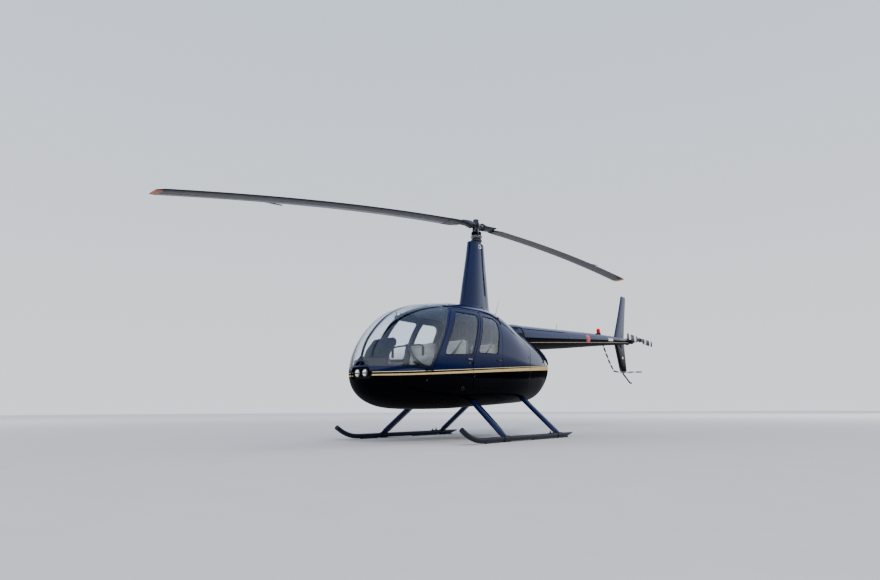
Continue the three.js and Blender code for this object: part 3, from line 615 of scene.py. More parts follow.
def fuselage_paint():
    """Navy above a pale gold band with a thin line over it, near black below."""
    made = new_material("fuselage_paint", NAVY, 0.3, 0.15, **COAT)
    n = Nodes(made)
    x, _, z = n.axes()
    run = n.less(STRIPE_START, x)
    square = n.times(run, run)
    root = n.math("SQRT", n.add(square, STRIPE_BEND))
    above = n.less(z, n.add(n.times(root, STRIPE_SLOPE), STRIPE_BASE))
    half = n.add(n.times(run, BAND_GROWTH), BAND_HALF)
    half = n.add(n.times(square, BAND_BEND), half)
    band = n.ramp(n.less(n.math("ABSOLUTE", above), half), EDGE, -EDGE)
    rise = n.add(n.times(run, LINE_GROWTH), LINE_RISE)
    over = n.less(above, rise)
    line = n.ramp(n.math("ABSOLUTE", over), LINE_HALF + EDGE, LINE_HALF - EDGE)
    back = n.ramp(x, STRIPE_START + 0.012, STRIPE_START + 0.008)
    upper = n.ramp(over, LINE_HALF, LINE_HALF + EDGE)
    body = n.mix(upper, NIGHT, flaky_paint(n, NAVY, NAVY_LIGHT))
    body = n.mix(n.times(line, back), body, PALE_GOLD)
    body = n.mix(n.times(band, back), body, GOLD)
    n.colour(dusty(n, body, 0.62))
    n.link(n.span(upper, LOWER_COAT, 1.0), n.shader.inputs["Coat Weight"])
    coat_wear(n, 0.22, 0.34)
    return made


def coated(name, dark, light):
    made = new_material(name, dark, 0.3, 0.15, **COAT)
    n = Nodes(made)
    n.colour(dusty(n, flaky_paint(n, dark, light), 0.3))
    coat_wear(n, 0.2, 0.36)
    return made


BOOM_EDGE_LEVEL, BOOM_EDGE_SLOPE = 1.4813, 0.0757
BOOM_LINE_LEVEL, BOOM_LINE_SLOPE = 1.4042, 0.0838


def boom_paint():
    """Navy above, near black below, with a thin line between them in a darker copy of the pale
    gold, as painted shade.
    """
    made = new_material("boom_paint", NAVY, 0.3, 0.15, **COAT)
    n = Nodes(made)
    x, _, z = n.axes()
    edge = n.less(BOOM_EDGE_LEVEL, n.times(x, BOOM_EDGE_SLOPE))
    upper = n.ramp(n.less(z, edge), 0.0, 0.002)
    above = n.less(z, n.less(BOOM_LINE_LEVEL, n.times(x, BOOM_LINE_SLOPE)))
    body = n.mix(upper, NIGHT, flaky_paint(n, NAVY, NAVY_LIGHT))
    n.colour(n.mix(n.ramp(n.math("ABSOLUTE", above), 0.0075, 0.006), body, SHADED_LINE_GOLD))
    n.link(n.span(upper, LOWER_COAT, 1.0), n.shader.inputs["Coat Weight"])
    coat_wear(n, 0.2, 0.34)
    return made


def worn_metal(name, colour, roughness=0.4, metallic=0.9):
    made = new_material(name, colour, roughness, metallic)
    n = Nodes(made)
    patches = n.ramp(n.noise(10, 4), 0.35, 0.7)
    n.colour(n.mix(n.times(patches, 0.6), colour, toned(colour, 1.5)))
    n.rough(n.span(n.noise(40, 3), roughness - 0.1, roughness + 0.15))
    n.bump(n.noise(240, 2), 0.15, 0.0005)
    return made


def satin(name, colour, roughness=0.5, grain=400, strength=0.2):
    made = new_material(name, colour, roughness)
    n = Nodes(made)
    n.colour(n.mix(n.ramp(n.noise(18, 4), 0.3, 0.7), colour, toned(colour, 1.35)))
    n.rough(n.span(n.noise(30, 3), roughness - 0.08, roughness + 0.1))
    n.bump(n.noise(grain, 2), strength, 0.0006)
    return made


def leather(name, colour):
    made = new_material(name, colour, 0.45, Sheen_Weight=0.15)
    n = Nodes(made)
    n.colour(n.mix(n.ramp(n.noise(7, 4), 0.25, 0.75), toned(colour, 0.72), colour))
    n.rough(n.span(n.noise(25, 3), 0.36, 0.55))
    n.bump(n.add(n.cells(420), n.times(n.noise(160, 3), 0.6)), 0.35, 0.0008)
    return made


def woven(name, colour):
    made = new_material(name, colour, 0.85, Sheen_Weight=0.3)
    n = Nodes(made)
    weave = n.cells(700)
    n.colour(n.mix(n.ramp(weave, 0.1, 0.8), toned(colour, 0.55), colour))
    n.bump(weave, 0.6, 0.001)
    return made


def clear(name, tint, ior=1.49, roughness=0.015):
    """Glazing that lets lamps through, with faint streaks in its gloss."""
    made = new_material(name, tint, roughness, IOR=ior, Transmission_Weight=1.0)
    n = Nodes(made)
    n.rough(n.span(n.noise(5, 3), roughness, roughness + 0.02))
    path, through, mix = n.node("LightPath"), n.node("BsdfTransparent"), n.node("MixShader")
    through.inputs["Color"].default_value = rgb(tint)
    n.link(path.outputs["Is Shadow Ray"], mix.inputs[0])
    n.link(n.shader.outputs[0], mix.inputs[1])
    n.link(through.outputs[0], mix.inputs[2])
    n.link(mix.outputs[0], n.tree.nodes["Material Output"].inputs["Surface"])
    return made


BAND_DARK, BAND_PALE = (0.012, 0.012, 0.014), (0.75, 0.75, 0.73)
GUARD_LEAN = 2.2  # how much a level counts beside a distance forward


def banded(name, along, start, length, share):
    """Dark and pale bands along the "radius" from the tail hub, or along the "guard"."""
    made = new_material(name, BAND_DARK, 0.35, Coat_Weight=0.4, Coat_Roughness=0.1)
    n = Nodes(made)
    x, _, z = n.axes()
    if along == "radius":
        value = n.distance(n.less(x, MAST_Y - TAIL_HUB[1]), n.less(z, TAIL_HUB[2]))
    else:
        value = n.add(x, n.times(z, GUARD_LEAN))
    turns = n.math("DIVIDE", n.less(value, start), 2 * length)
    wave = n.math("PINGPONG", turns, 0.5)
    split = 0.5 * (1 - share)
    tone = n.mix(n.ramp(wave, split - 0.005, split + 0.005), BAND_DARK, BAND_PALE)
    n.colour(n.mix(n.times(n.noise(30, 4), 0.1), tone, (0.2, 0.19, 0.18)))
    n.rough(n.span(n.noise(30, 3), 0.3, 0.5))
    n.bump(n.noise(120, 2), 0.1, 0.0005)
    return made


TIP_START, TIP_COLOUR = 4.92, (0.42, 0.10, 0.03)


def blade_paint(name, dark, light):
    """Blades with orange-brown tips, weathered along their length."""
    made = new_material(name, dark, 0.42, 0.0, Coat_Weight=0.2)
    n = Nodes(made)
    x, y, _ = n.axes()
    streak = n.ramp(n.noise(3, 5, (1, 12, 12)), 0.3, 0.75)
    tip = n.ramp(n.distance(x, y), TIP_START, TIP_START + 0.004)
    n.colour(n.mix(tip, n.mix(streak, dark, light), TIP_COLOUR))
    n.rough(n.span(n.noise(25, 3), 0.34, 0.55))
    n.bump(n.noise(90, 3), 0.15, 0.0006)
    return made


class Paints:
    """Every material of the machine."""

    def __init__(self):
        self.fuselage = fuselage_paint()
        self.navy = coated("navy_paint", NAVY, NAVY_LIGHT)
        self.night = coated("night_paint", NIGHT, (0.005, 0.006, 0.012))
        self.boom = boom_paint()
        self.black = satin("black_trim", (0.012, 0.012, 0.014), 0.5)
        self.rubber = satin("seal_rubber", (0.008, 0.008, 0.009), 0.75, 250, 0.3)
        self.dark_metal = worn_metal("dark_metal", (0.035, 0.037, 0.045), 0.42, 0.5)
        self.steel = worn_metal("hub_steel", (0.30, 0.31, 0.33), 0.35)
        self.dark_steel = worn_metal("dark_steel", (0.09, 0.092, 0.10), 0.42)
        self.bright = worn_metal("bright_metal", (0.72, 0.73, 0.75), 0.2)
        self.engine = worn_metal("engine_alloy", (0.25, 0.25, 0.255), 0.55, 0.7)
        self.leather = leather("seat_leather", (0.46, 0.45, 0.43))
        self.headliner = satin("headliner_cloth", (0.30, 0.31, 0.32), 0.8, 600, 0.3)
        self.lining = satin("cabin_lining", (0.10, 0.105, 0.12), 0.7, 300, 0.3)
        self.carpet = woven("cabin_carpet", (0.035, 0.037, 0.045))
        self.webbing = woven("belt_webbing", (0.02, 0.02, 0.022))
        self.skid = worn_metal("skid_paint", (0.018, 0.02, 0.028), 0.35, 0.3)
        self.grip = worn_metal("grip_paint", (0.05, 0.053, 0.06), 0.4, 0.3)
        self.edge = worn_metal("blade_edge", (0.03, 0.031, 0.033), 0.35, 0.5)
        self.plate = satin("blank_plate", (0.62, 0.55, 0.54), 0.5)
        self.red = satin("red_patch", (0.48, 0.10, 0.09), 0.4)
        self.red_glow = satin("beacon_red", (0.50, 0.012, 0.010), 0.15, 60, 0.1)
        self.glass = clear("clear_glazing", (0.91, 0.94, 0.96), 1.6)
        self.lens = clear("lamp_lens", (0.97, 0.98, 0.98))
        self.red_lens = clear("red_lens", (0.75, 0.02, 0.015), 1.45, 0.05)
        self.green_lens = clear("green_lens", (0.02, 0.55, 0.12), 1.45, 0.05)
        self.blade = blade_paint("blade_paint", (0.010, 0.011, 0.012), (0.028, 0.030, 0.032))
        # A pale copy of the blade paint: a painted reflection of the sky on one blade's rear
        # underside.
        self.blade_painted_reflection = blade_paint("pale_blade_paint", (0.22, 0.225, 0.22), (0.34, 0.345, 0.34))
        self.tail_blade = banded("tail_blade_bands", "radius", 0.16, 0.145, 0.36)
        self.guard = banded("guard_bands", "guard", -3.0, 0.17, 0.35)
        self.dial = satin("dial_face", (0.006, 0.006, 0.007), 0.4)
        self.mark = satin("dial_mark", (0.75, 0.75, 0.72), 0.5)


paint = Paints()


# Pieces.


def piece(name, body, parts, replaced=(), crease=32, skin_normals=False, inside=None):
    """One mesh piece from parts, each a shape with its material, riding on a body."""
    shape = joined(*(part for part, _ in parts))
    mesh = bpy.data.meshes.new(name)
    mesh.from_pydata(shape.points.tolist(), [], shape.faces)
    materials = []
    for _, material in parts:
        if material not in materials:
            materials.append(material)
            mesh.materials.append(material)
    indices = [materials.index(m) for part, m in parts for _ in part.faces]
    mesh.polygons.foreach_set("material_index", indices)
    weld(mesh)
    mesh.polygons.foreach_set("use_smooth", [True] * len(mesh.polygons))
    mesh.set_sharp_from_angle(angle=math.radians(crease))
    if inside:
        mesh.materials.append(inside)
    if skin_normals:
        set_skin_normals(mesh, inside is not None)
    mesh.transform(Matrix(((0, 1, 0, 0), (-1, 0, 0, MAST_Y), (0, 0, 1, 0), (0, 0, 0, 1))))
    made = bpy.data.objects.new(name, mesh)
    bpy.context.scene.collection.objects.link(made)
    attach(made, body)
    if replaced:
        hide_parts(*replaced)
    return made


ON_SKIN = 0.93  # least agreement of a face with the pod's skin


def set_skin_normals(mesh, lined):
    """Gives faces that follow the pod's skin its exact normals, so that cuts don't dent it."""
    faces, loops = len(mesh.polygons), len(mesh.loops)
    centres, normals = np.empty(faces * 3), np.empty(faces * 3)
    mesh.polygons.foreach_get("center", centres)
    mesh.polygons.foreach_get("normal", normals)
    centres, normals = centres.reshape(-1, 3), normals.reshape(-1, 3)
    facing = np.sum(pod_normals(centres) * normals, axis=1)
    sign = np.where(facing > ON_SKIN, 1, np.where(facing < -ON_SKIN, -1, 0))
    if lined:
        indices = np.empty(faces, int)
        mesh.polygons.foreach_get("material_index", indices)
        indices[sign < 0] = len(mesh.materials) - 1
        mesh.polygons.foreach_set("material_index", indices)
    exact = pod_normals(places(mesh))
    corner = np.empty(loops, int)
    mesh.loops.foreach_get("vertex_index", corner)
    sizes = np.empty(faces, int)
    mesh.polygons.foreach_get("loop_total", sizes)
    owner = np.repeat(np.arange(faces), sizes)
    chosen = np.where(
        sign[owner][:, None] != 0, exact[corner] * sign[owner][:, None], normals[owner]
    )
    mesh.normals_split_custom_set(chosen.tolist())


# Outlines in the side view, as (x, z).

WINDSCREEN = [
    (1.757, 0.92), (1.648, 1.15), (1.548, 1.34), (1.412, 1.59), (1.298, 1.752), (1.04, 1.905),
]
WINDSCREEN_ZONE = WINDSCREEN + [(1.04, 2.2), (2.7, 2.2), (2.7, 0.92)]
DOOR_TOP = 1.742
DOOR_SPLIT = [(0.71, DOOR_TOP), (0.938, 1.15), (1.0, 1.06), (1.0, 0.69)]
FRONT_EDGE = [
    (1.835, 0.69), (1.825, 0.78), (1.732, 0.91), (1.620, 1.15), (1.520, 1.34), (1.384, 1.585),
    (1.27, DOOR_TOP),
]
REAR_EDGE = [(0.3, 0.69), (0.3, 1.15), (0.255, 1.62), (0.295, 1.69), (0.385, 1.73), (0.5, DOOR_TOP)]
DOORWAY = FRONT_EDGE + REAR_EDGE[::-1]
FRONT_WINDOW = [
    (0.765, 1.698), (1.235, 1.698), (1.345, 1.52), (1.465, 1.3), (1.566, 1.085), (0.995, 1.125),
]
REAR_WINDOW = [
    (0.672, 1.694), (0.885, 1.152), (0.41, 1.165), (0.30, 1.59), (0.33, 1.66), (0.405, 1.692),
]
CORNERS = {
    "front": (0.06, 0.05, 0.3, 0.4, 0.05, 0.045), "rear": (0.05, 0.045, 0.045, 0.2, 0.06, 0.12),
}
SEAM, HALF_SPLIT = 0.006, 0.005  # gaps round a doorway and beside the doors' split
CUT_REACH = 0.9  # half width of a cutter, past the pod on both sides
COWL_FACE = -0.52
NOSE_TRIANGLE = [(-0.15, 0.9), (0.15, 0.9), (0.0, 1.045)]
LAMP_BACK, LAMP_LEVEL, LAMP_SPREAD = 2.395, 0.848, 0.066
NOSE_RECESS = rounded([(-0.185, 0.775), (0.185, 0.775), (0.15, 0.918), (-0.15, 0.918)], 0.05)
NOSE_VENT = rounded([(-0.095, 0.938), (0.095, 0.938), (0.05, 0.985), (-0.05, 0.985)], 0.03)


def door_outline(which):
    """A door's edge in the side view, with its share of the gaps."""
    gap = HALF_SPLIT if which == "front" else -HALF_SPLIT
    edge = FRONT_EDGE if which == "front" else REAR_EDGE
    radii = [0.03, 0.06, 0.06, 0.03, 0.05] + [0.12] * (len(edge) - 2) + [0.05]
    return rounded([(x + gap, z) for x, z in DOOR_SPLIT] + edge, radii)


def opening_outline(extra):
    return grown(rounded(DOORWAY, 0.05), extra)


def window_outline(which, extra=0.0):
    outline = FRONT_WINDOW if which == "front" else REAR_WINDOW
    return grown(rounded(outline, CORNERS[which], 8), extra)


def side_cut(outline, port=False):
    """A cutter through the side view: both sides, or the port side alone."""
    return slab(outline, 0.0 if port else -CUT_REACH, CUT_REACH, "y")


def front_cut(outline, low, high):
    return slab(outline, low, high, "x")


# The cabin's skin.


def windscreen_zone(edge, nose_edge):
    """A cutter for all that is ahead of the windscreen's edge and above the nose triangle."""
    return carved(
        side_cut(grown(WINDSCREEN_ZONE, edge)),
        ("DIFFERENCE", front_cut(grown(NOSE_TRIANGLE, nose_edge), 2.0, 2.8)),
    )


def cabin_skin():
    zone = block((COWL_FACE + 0.002, -CUT_REACH, 0.2), (2.7, CUT_REACH, 2.3), 0)
    screen = windscreen_zone(0.0, 0.0)
    shell = carved(
        pod_shell(0, SKIN_DEPTH),
        ("INTERSECT", zone),
        ("DIFFERENCE", side_cut(opening_outline(SEAM))),
        ("DIFFERENCE", screen),
        ("DIFFERENCE", front_cut(NOSE_RECESS, 2.2, 2.7)),
        ("DIFFERENCE", front_cut(NOSE_VENT, 2.3, 2.7)),
    )
    piece(
        "cabin_skin", "airframe", [(shell, paint.fuselage)],
        ("cabin_tub", "cabin_roof"), skin_normals=True, inside=paint.lining,
    )


def windscreen():
    zone = windscreen_zone(-0.0015, 0.0015)
    bow = block((0.9, -0.011, 0.85), (2.7, 0.011, 2.2), 0)
    pane = carved(pod_shell(0.002, 0.007), ("INTERSECT", zone), ("DIFFERENCE", bow))
    for side, sign in SIDES:
        half = block((0.9, 0.0, 0.85), (2.7, 0.9, 2.2), 0)
        one = carved(pane, ("INTERSECT", for_side(half, sign).outward()))
        piece(
            f"windscreen_pane_{side}", "airframe", [(one, paint.glass)],
            (f"windscreen_{side}",), skin_normals=True,
        )
    strip = carved(pod_shell(0, 0.024), ("INTERSECT", zone), ("INTERSECT", bow))
    inner_zone = windscreen_zone(-0.022, 0.02)
    lip = carved(pod_shell(0.0075, 0.018), ("INTERSECT", zone), ("DIFFERENCE", inner_zone))
    piece(
        "windscreen_centre_bow", "airframe",
        [(strip, paint.black)], ("windscreen_bow",), skin_normals=True,
    )
    piece("windscreen_seal", "airframe", [(lip, paint.rubber)], skin_normals=True)


def doors():
    ring = carved(
        pod_shell(SKIN_DEPTH + 0.001, SKIN_DEPTH + 0.02),
        ("INTERSECT", side_cut(opening_outline(0.02))),
        ("DIFFERENCE", side_cut(opening_outline(-0.016))),
    )
    post = [(x + s * 0.032, z) for s in (-1, 1) for x, z in DOOR_SPLIT[::s]]
    post = carved(
        pod_shell(SKIN_DEPTH + 0.001, SKIN_DEPTH + 0.02),
        ("INTERSECT", side_cut(post)),
    )
    piece(
        "door_frame_seal", "airframe", [(joined(ring, post), paint.rubber)],
        skin_normals=True,
    )
    for which in ("front", "rear"):
        outline = door_outline(which)
        panel = carved(
            pod_shell(0, SKIN_DEPTH),
            ("INTERSECT", side_cut(outline, True)),
            ("DIFFERENCE", side_cut(window_outline(which), True)),
        )
        trim = carved(
            pod_shell(SKIN_DEPTH + 0.0005, SKIN_DEPTH + 0.010),
            ("INTERSECT", side_cut(grown(outline, -0.035), True)),
            ("DIFFERENCE", side_cut(window_outline(which, 0.03), True)),
        )
        pane = carved(
            pod_shell(0.006, 0.0105),
            ("INTERSECT", side_cut(window_outline(which, -0.0008), True)),
        )
        seal = carved(
            pod_shell(0.0025, 0.0058),
            ("INTERSECT", side_cut(window_outline(which, -0.0005), True)),
            ("DIFFERENCE", side_cut(window_outline(which, -0.011), True)),
        )
        for side, sign in SIDES:
            name = f"door_{which}_{side}"
            piece(
                f"{name}_panel", name,
                [(for_side(panel, sign), paint.fuselage), (for_side(trim, sign), paint.lining)],
                (name,), skin_normals=True,
            )
            piece(
                f"window_{which}_{side}_pane", name,
                [(for_side(pane, sign), paint.glass)], (f"window_{which}_{side}",),
                skin_normals=True,
            )
            piece(
                f"window_{which}_{side}_seal", name,
                [(for_side(seal, sign), paint.rubber)], skin_normals=True,
            )


cabin_skin()
windscreen()
doors()


# Parts that lie on the pod's skin.


def pod_strip(path, width, low, high, steps=6, place=pod_side):
    """A strip on the skin from one depth to another, along a path in the side or plan view."""
    path = smooth_path(path, steps)
    slope = np.gradient(path, axis=0)
    slope /= np.linalg.norm(slope, axis=1)[:, None]
    across = np.stack([-slope[:, 1], slope[:, 0]], 1) * width / 2
    soft = np.array([0.35, 0, 0, 0.35])[:, None] * (high - low)
    rings = []
    for a, b in zip(path - across, path + across):
        edge = np.array([a, a + 0.15 * (b - a), b - 0.15 * (b - a), b])
        top = place(edge[:, 0], edge[:, 1])
        normal = pod_normals(top)
        rings.append(np.concatenate([top - normal * (low + soft), (top - normal * high)[::-1]]))
    return skin(rings)


def pod_spot(profile, x, z, sides):
    """A small round part on the port skin, at a place in the side view."""
    foot = pod_side([x], [z])[0]
    return turned_part(profile, foot, pod_normals(foot)[0], sides)


def along_path(path, spacing):
    """Places at even steps along a side view path."""
    path = np.asarray(path, float)
    steps = np.linalg.norm(np.diff(path, axis=0), axis=1)
    reach = np.concatenate([[0], np.cumsum(steps)])
    at = np.arange(spacing / 2, reach[-1], spacing)
    return np.stack([np.interp(at, reach, path[:, i]) for i in (0, 1)], 1)


# The nose.


# Columns: distance from the lamp's back, radius.
LAMP_BOWL = [(0.0, 0.012), (0.004, 0.022), (0.012, 0.034), (0.024, 0.043), (0.034, 0.0465)]
LAMP_RIM = [(0.030, 0.0475), (0.030, 0.052), (0.038, 0.052), (0.040, 0.049), (0.036, 0.047)]
LAMP_LENS = [(0.034, 0.046), (0.038, 0.040), (0.0405, 0.028), (0.0415, 0.012), (0.0417, 0.0005)]
LAMP_BULB = [(0.006, 0.004), (0.018, 0.005), (0.022, 0.003), (0.023, 0.0002)]
LENS_THICK, BOWL_THICK = 0.0025, 0.002
RECESS_BACK = [(-0.2, 0.745), (0.2, 0.745), (0.2, 0.925), (-0.2, 0.925)]
# Outline of a dark plate behind the vent: painted shade seen through the opening.
VENT_SHADE = [(-0.11, 0.93), (0.11, 0.93), (0.06, 0.99), (-0.06, 0.99)]


def nose():
    back = slab(rounded(RECESS_BACK, 0.04), 2.372, LAMP_BACK - 0.002, "x")
    ring = carved(
        pod_shell(SKIN_DEPTH + 0.0005, SKIN_DEPTH + 0.03),
        ("INTERSECT", block((2.26, -0.3, 0.72), (2.6, 0.3, 1.02), 0)),
        ("DIFFERENCE", front_cut(grown(NOSE_RECESS, -0.004), 2.2, 2.7)),
        ("DIFFERENCE", front_cut(NOSE_VENT, 2.3, 2.7)),
    )
    mesh = [
        rod((2.395, y, 0.94), (2.39, y, 0.985), 0.0016, 6) for y in np.linspace(-0.08, 0.08, 13)
    ]
    # A dark plate behind the vent: painted shade seen through its grille.
    shade = slab(rounded(VENT_SHADE, 0.02), 2.36, 2.376, "x", 0.003)
    piece(
        "nose_lamp_recess", "airframe",
        [
            (joined(back, ring), paint.black), (shade, paint.rubber),
            (joined(*mesh), paint.dark_steel),
        ],
    )

    def lamps(profile, sides=32):
        feet = [(LAMP_BACK + 0.001, sign * LAMP_SPREAD, LAMP_LEVEL) for sign in (-1, 1)]
        return joined(*(turned_part(profile, foot, X, sides) for foot in feet))

    bowl = LAMP_BOWL + [(d, r - BOWL_THICK) for d, r in LAMP_BOWL[:0:-1]] + [(0.006, 0.004)]
    lens = LAMP_LENS + [(d - LENS_THICK, r) for d, r in LAMP_LENS[::-1]]
    piece(
        "landing_lamps", "airframe",
        [
            (lamps(bowl), paint.bright), (lamps(LAMP_RIM), paint.dark_steel),
            (lamps(LAMP_BULB, 12), paint.mark),
        ],
        ("nose_lamps",),
    )
    piece("landing_lamp_lenses", "airframe", [(lamps(lens), paint.lens)])


nose()


# The cabin's inside.

FLOOR_LEVEL = 0.6
BOX_TOP = 0.86
SEAT_SHIFT, SEAT_Y = 0.705, 0.28
# Columns: aft and forward face of a seat box.
SEAT_BOXES = [(0.96, 1.44), (0.2, 0.76)]
TREAD_Y, TREAD_HALF = 0.25, 0.12


def cabin_inside():
    low = FLOOR_LEVEL - 0.002
    floor = carved(
        pod_body(SKIN_DEPTH + 0.002), ("INTERSECT", block((0.16, -0.7, 0.5), (2.33, 0.7, low), 0.0))
    )
    plates, ribs = [], []
    for y in (TREAD_Y, -TREAD_Y):
        plate_top = FLOOR_LEVEL + 0.003
        plates.append(
            block((1.56, y - TREAD_HALF, low), (1.78, y + TREAD_HALF, plate_top), 0.001, 0.012)
        )
        for x in np.linspace(1.585, 1.755, 8):
            foot = (x - 0.004, y - 0.105, FLOOR_LEVEL + 0.0025)
            ribs.append(block(foot, (x + 0.004, y + 0.105, FLOOR_LEVEL + 0.0042), 0.0007))
    piece(
        "cabin_floor_mat", "airframe",
        [
            (floor, paint.carpet), (joined(*plates), paint.dark_steel),
            (joined(*ribs), paint.steel),
        ],
    )
    inner = pod_body(SKIN_DEPTH + 0.065)
    boxes, lids = [], []
    for x0, x1 in SEAT_BOXES:
        box = block((x0, -0.545, FLOOR_LEVEL), (x1, 0.545, BOX_TOP - 0.004), 0.01)
        boxes.append(carved(inner, ("INTERSECT", box)))
        for y in (SEAT_Y, -SEAT_Y):
            lid = [(y - 0.2, 0.64), (y + 0.2, 0.64), (y + 0.2, 0.82), (y - 0.2, 0.82)]
            lids.append(slab(rounded(lid, 0.03), x1 - 0.002, x1 + 0.003, "x", 0.001))
    piece(
        "seat_bases", "airframe",
        [(joined(*boxes), paint.lining), (joined(*lids), paint.carpet)],
    )
    wall = carved(
        pod_body(SKIN_DEPTH + 0.003),
        ("INTERSECT", block((0.155, -0.7, FLOOR_LEVEL), (0.185, 0.7, 1.95), 0.0)),
    )
    quilts = [
        block((0.183, y - 0.066, 1.38), (0.189, y + 0.066, 1.74), 0.002, 0.02)
        for y in np.linspace(-0.45, 0.45, 7)
    ]
    piece(
        "rear_bulkhead_panel", "airframe",
        [(wall, paint.lining), (joined(*quilts), paint.carpet)], ("cabin_bulkhead",),
    )
    roof = carved(
        pod_shell(SKIN_DEPTH + 0.001, SKIN_DEPTH + 0.009),
        ("INTERSECT", block((0.19, -0.47, 1.6), (1.06, 0.47, 2.1), 0)),
    )
    lamp = rod((0.9, 0, 1.845), (0.9, 0, 1.835), 0.045, 24)
    glow = rod((0.9, 0, 1.836), (0.9, 0, 1.830), 0.03, 24)
    piece(
        "headliner", "airframe",
        [(roof, paint.headliner), (lamp, paint.black), (glow, paint.mark)], skin_normals=True,
    )


cabin_inside()


# The seats: padded cushions on closed boxes.

PAD_CELL = 0.009  # edge of a pad's faces
PAD_CAP = 0.016  # most that a point of a pad may move while it swells
PAD_PRESSURE, PAD_FRAMES = 4.0, 14
PAD_STIFFNESS, PAD_BENDING = 18, 0.6
PINNED_HEIGHT = 0.004  # the foot of a pad that keeps its place
CHANNEL_DEPTH, CHANNEL_WIDTH = 0.009, 0.008
BACK_LEAN = math.radians(80.8)
SEAT_SHELL = [(0.921, 0.90), (0.99, 0.90), (1.0, 1.0), (0.955, 1.33), (0.921, 1.33)]
SEAT_HALF = 0.222


def pad_block(half_long, half_wide, height, corner, bevel):
    """A closed box of small faces with round corners, ready to swell."""
    box = block((-half_long, -half_wide, 0), (half_long, half_wide, height), bevel, corner)
    made = scratch(box)
    remesh = made.modifiers.new("remesh", "REMESH")
    remesh.mode = "VOXEL"
    remesh.voxel_size = PAD_CELL
    return made


def swollen(made):
    """The mesh after a short cloth simulation that fills it, as a shape."""
    scene = bpy.context.scene
    solid = bpy.data.meshes.new_from_object(evaluated(made))
    made.modifiers.clear()
    made.data = solid
    start = moved = places(solid)
    pins = made.vertex_groups.new(name="pins")
    foot = np.flatnonzero(start[:, 2] < start[:, 2].min() + PINNED_HEIGHT)
    pins.add([int(i) for i in foot], 1.0, "REPLACE")
    cloth = made.modifiers.new("cloth", "CLOTH")
    settings = cloth.settings
    settings.effector_weights.gravity = 0
    settings.use_pressure = True
    settings.uniform_pressure_force = PAD_PRESSURE
    settings.vertex_group_mass = "pins"
    settings.quality = 4
    settings.tension_stiffness = settings.compression_stiffness = PAD_STIFFNESS
    settings.bending_stiffness = PAD_BENDING
    cloth.point_cache.frame_start, cloth.point_cache.frame_end = 1, PAD_FRAMES
    for i in range(1, PAD_FRAMES + 1):
        scene.frame_set(i)
    moved = places(evaluated(made).to_mesh())
    scene.frame_set(1)
    step = moved - start
    length = np.linalg.norm(step, axis=1)[:, None]
    moved = start + step * np.minimum(1, PAD_CAP / np.maximum(length, 1e-9))
    faces = [tuple(face.vertices) for face in solid.polygons]
    bpy.data.objects.remove(made)
    return Shape(moved, faces)


def channelled(shape, lines):
    """The shape pressed in along sewn lines across the pad's top."""
    points = shape.points.copy()
    top = points[:, 2] > np.median(points[:, 2])
    for place in lines:
        near = np.exp(-(((points[:, 0] - place) / CHANNEL_WIDTH) ** 2))
        points[:, 2] -= np.where(top, CHANNEL_DEPTH * near, 0)
    return Shape(points, shape.faces)


def seats():
    """Each pad is made flat, with its top up, and then set in its place."""
    flat_cushion = pad_block(0.215, 0.218, 0.082, 0.06, 0.02)
    flat_back = pad_block(0.185, 0.216, 0.07, 0.055, 0.018)
    cushion = channelled(swollen(flat_cushion), (-0.07, 0.07))
    back = channelled(swollen(flat_back), (-0.1, 0.0, 0.1))
    c, s = math.cos(BACK_LEAN), math.sin(BACK_LEAN)
    back = back.turned(((c, 0, s), (0, 1, 0), (-s, 0, c)))
    for row_name, shift in (("front", 0.0), ("rear", -SEAT_SHIFT)):
        for side, sign in SIDES:
            y = sign * SEAT_Y
            low = (0.985 + shift, y - 0.225, BOX_TOP + 0.0004)
            base = block(low, (1.437 + shift, y + 0.225, 0.878), 0.006, 0.05)
            outline = rounded([(x + shift, z) for x, z in SEAT_SHELL], 0.012)
            shell = slab(outline, y - SEAT_HALF, y + SEAT_HALF, "y", 0.008)
            name = f"seat_{row_name}_{side}"
            piece(
                f"{name}_frame", "airframe",
                [(base, paint.black), (shell, paint.lining)], (name,),
            )
            pads = {
                "cushion": cushion.shifted(1.222 + shift, y, 0.8745),
                "back": back.shifted(0.965 + shift, y, 1.16),
            }
            for part, shape in pads.items():
                made = piece(
                    f"{name}_{part}", "airframe", [(shape, paint.leather)],
                    crease=180,
                )
            belts(f"belt_{row_name}_{side}", sign, shift)


BELT_HALF, BELT_THICK = 0.023, 0.0012
RIM_SIGNS = ((1, 1), (1, -1), (-1, -1), (-1, 1))
# Columns: x, offset outward from the seat's middle, z.
CHEST_BELT = [
    (0.985, 0.235, 1.40), (1.052, 0.19, 1.30), (1.083, 0.06, 1.13), (1.10, -0.10, 1.02),
    (1.12, -0.225, 0.965), (1.10, -0.238, 0.92),
]
LAP_BELT = [(1.08, 0.236, 0.90), (1.12, 0.225, 0.972), (1.15, 0, 0.993), (1.12, -0.225, 0.972)]


def ribbon(path, across):
    """A flat strap along a path."""
    path = smooth_path(path, 6)
    along = np.gradient(path, axis=0)
    along /= np.linalg.norm(along, axis=1)[:, None]
    across = np.asarray(across, float)
    rings = []
    for point, way in zip(path, along):
        side = across - way * (across @ way)
        side /= np.linalg.norm(side)
        up = np.cross(way, side)
        rings.append([
            point + side * a * BELT_HALF + up * b * BELT_THICK for a, b in RIM_SIGNS
        ])
    return skin(rings)


def belts(name, out, shift):
    middle = out * SEAT_Y

    def placed(path):
        return [(x + shift, middle + out * y, z) for x, y, z in path]

    strap = joined(
        ribbon(placed(CHEST_BELT), (0, 0.6, 0.8)), ribbon(placed(LAP_BELT), (1, 0, 0.2))
    )
    y = middle - out * 0.228
    buckle = block((1.085 + shift, y - 0.012, 0.93), (1.145 + shift, y + 0.012, 0.985), 0.004)
    piece(name, "airframe", [(strap, paint.webbing), (buckle, paint.black)])


seats()


# The controls.


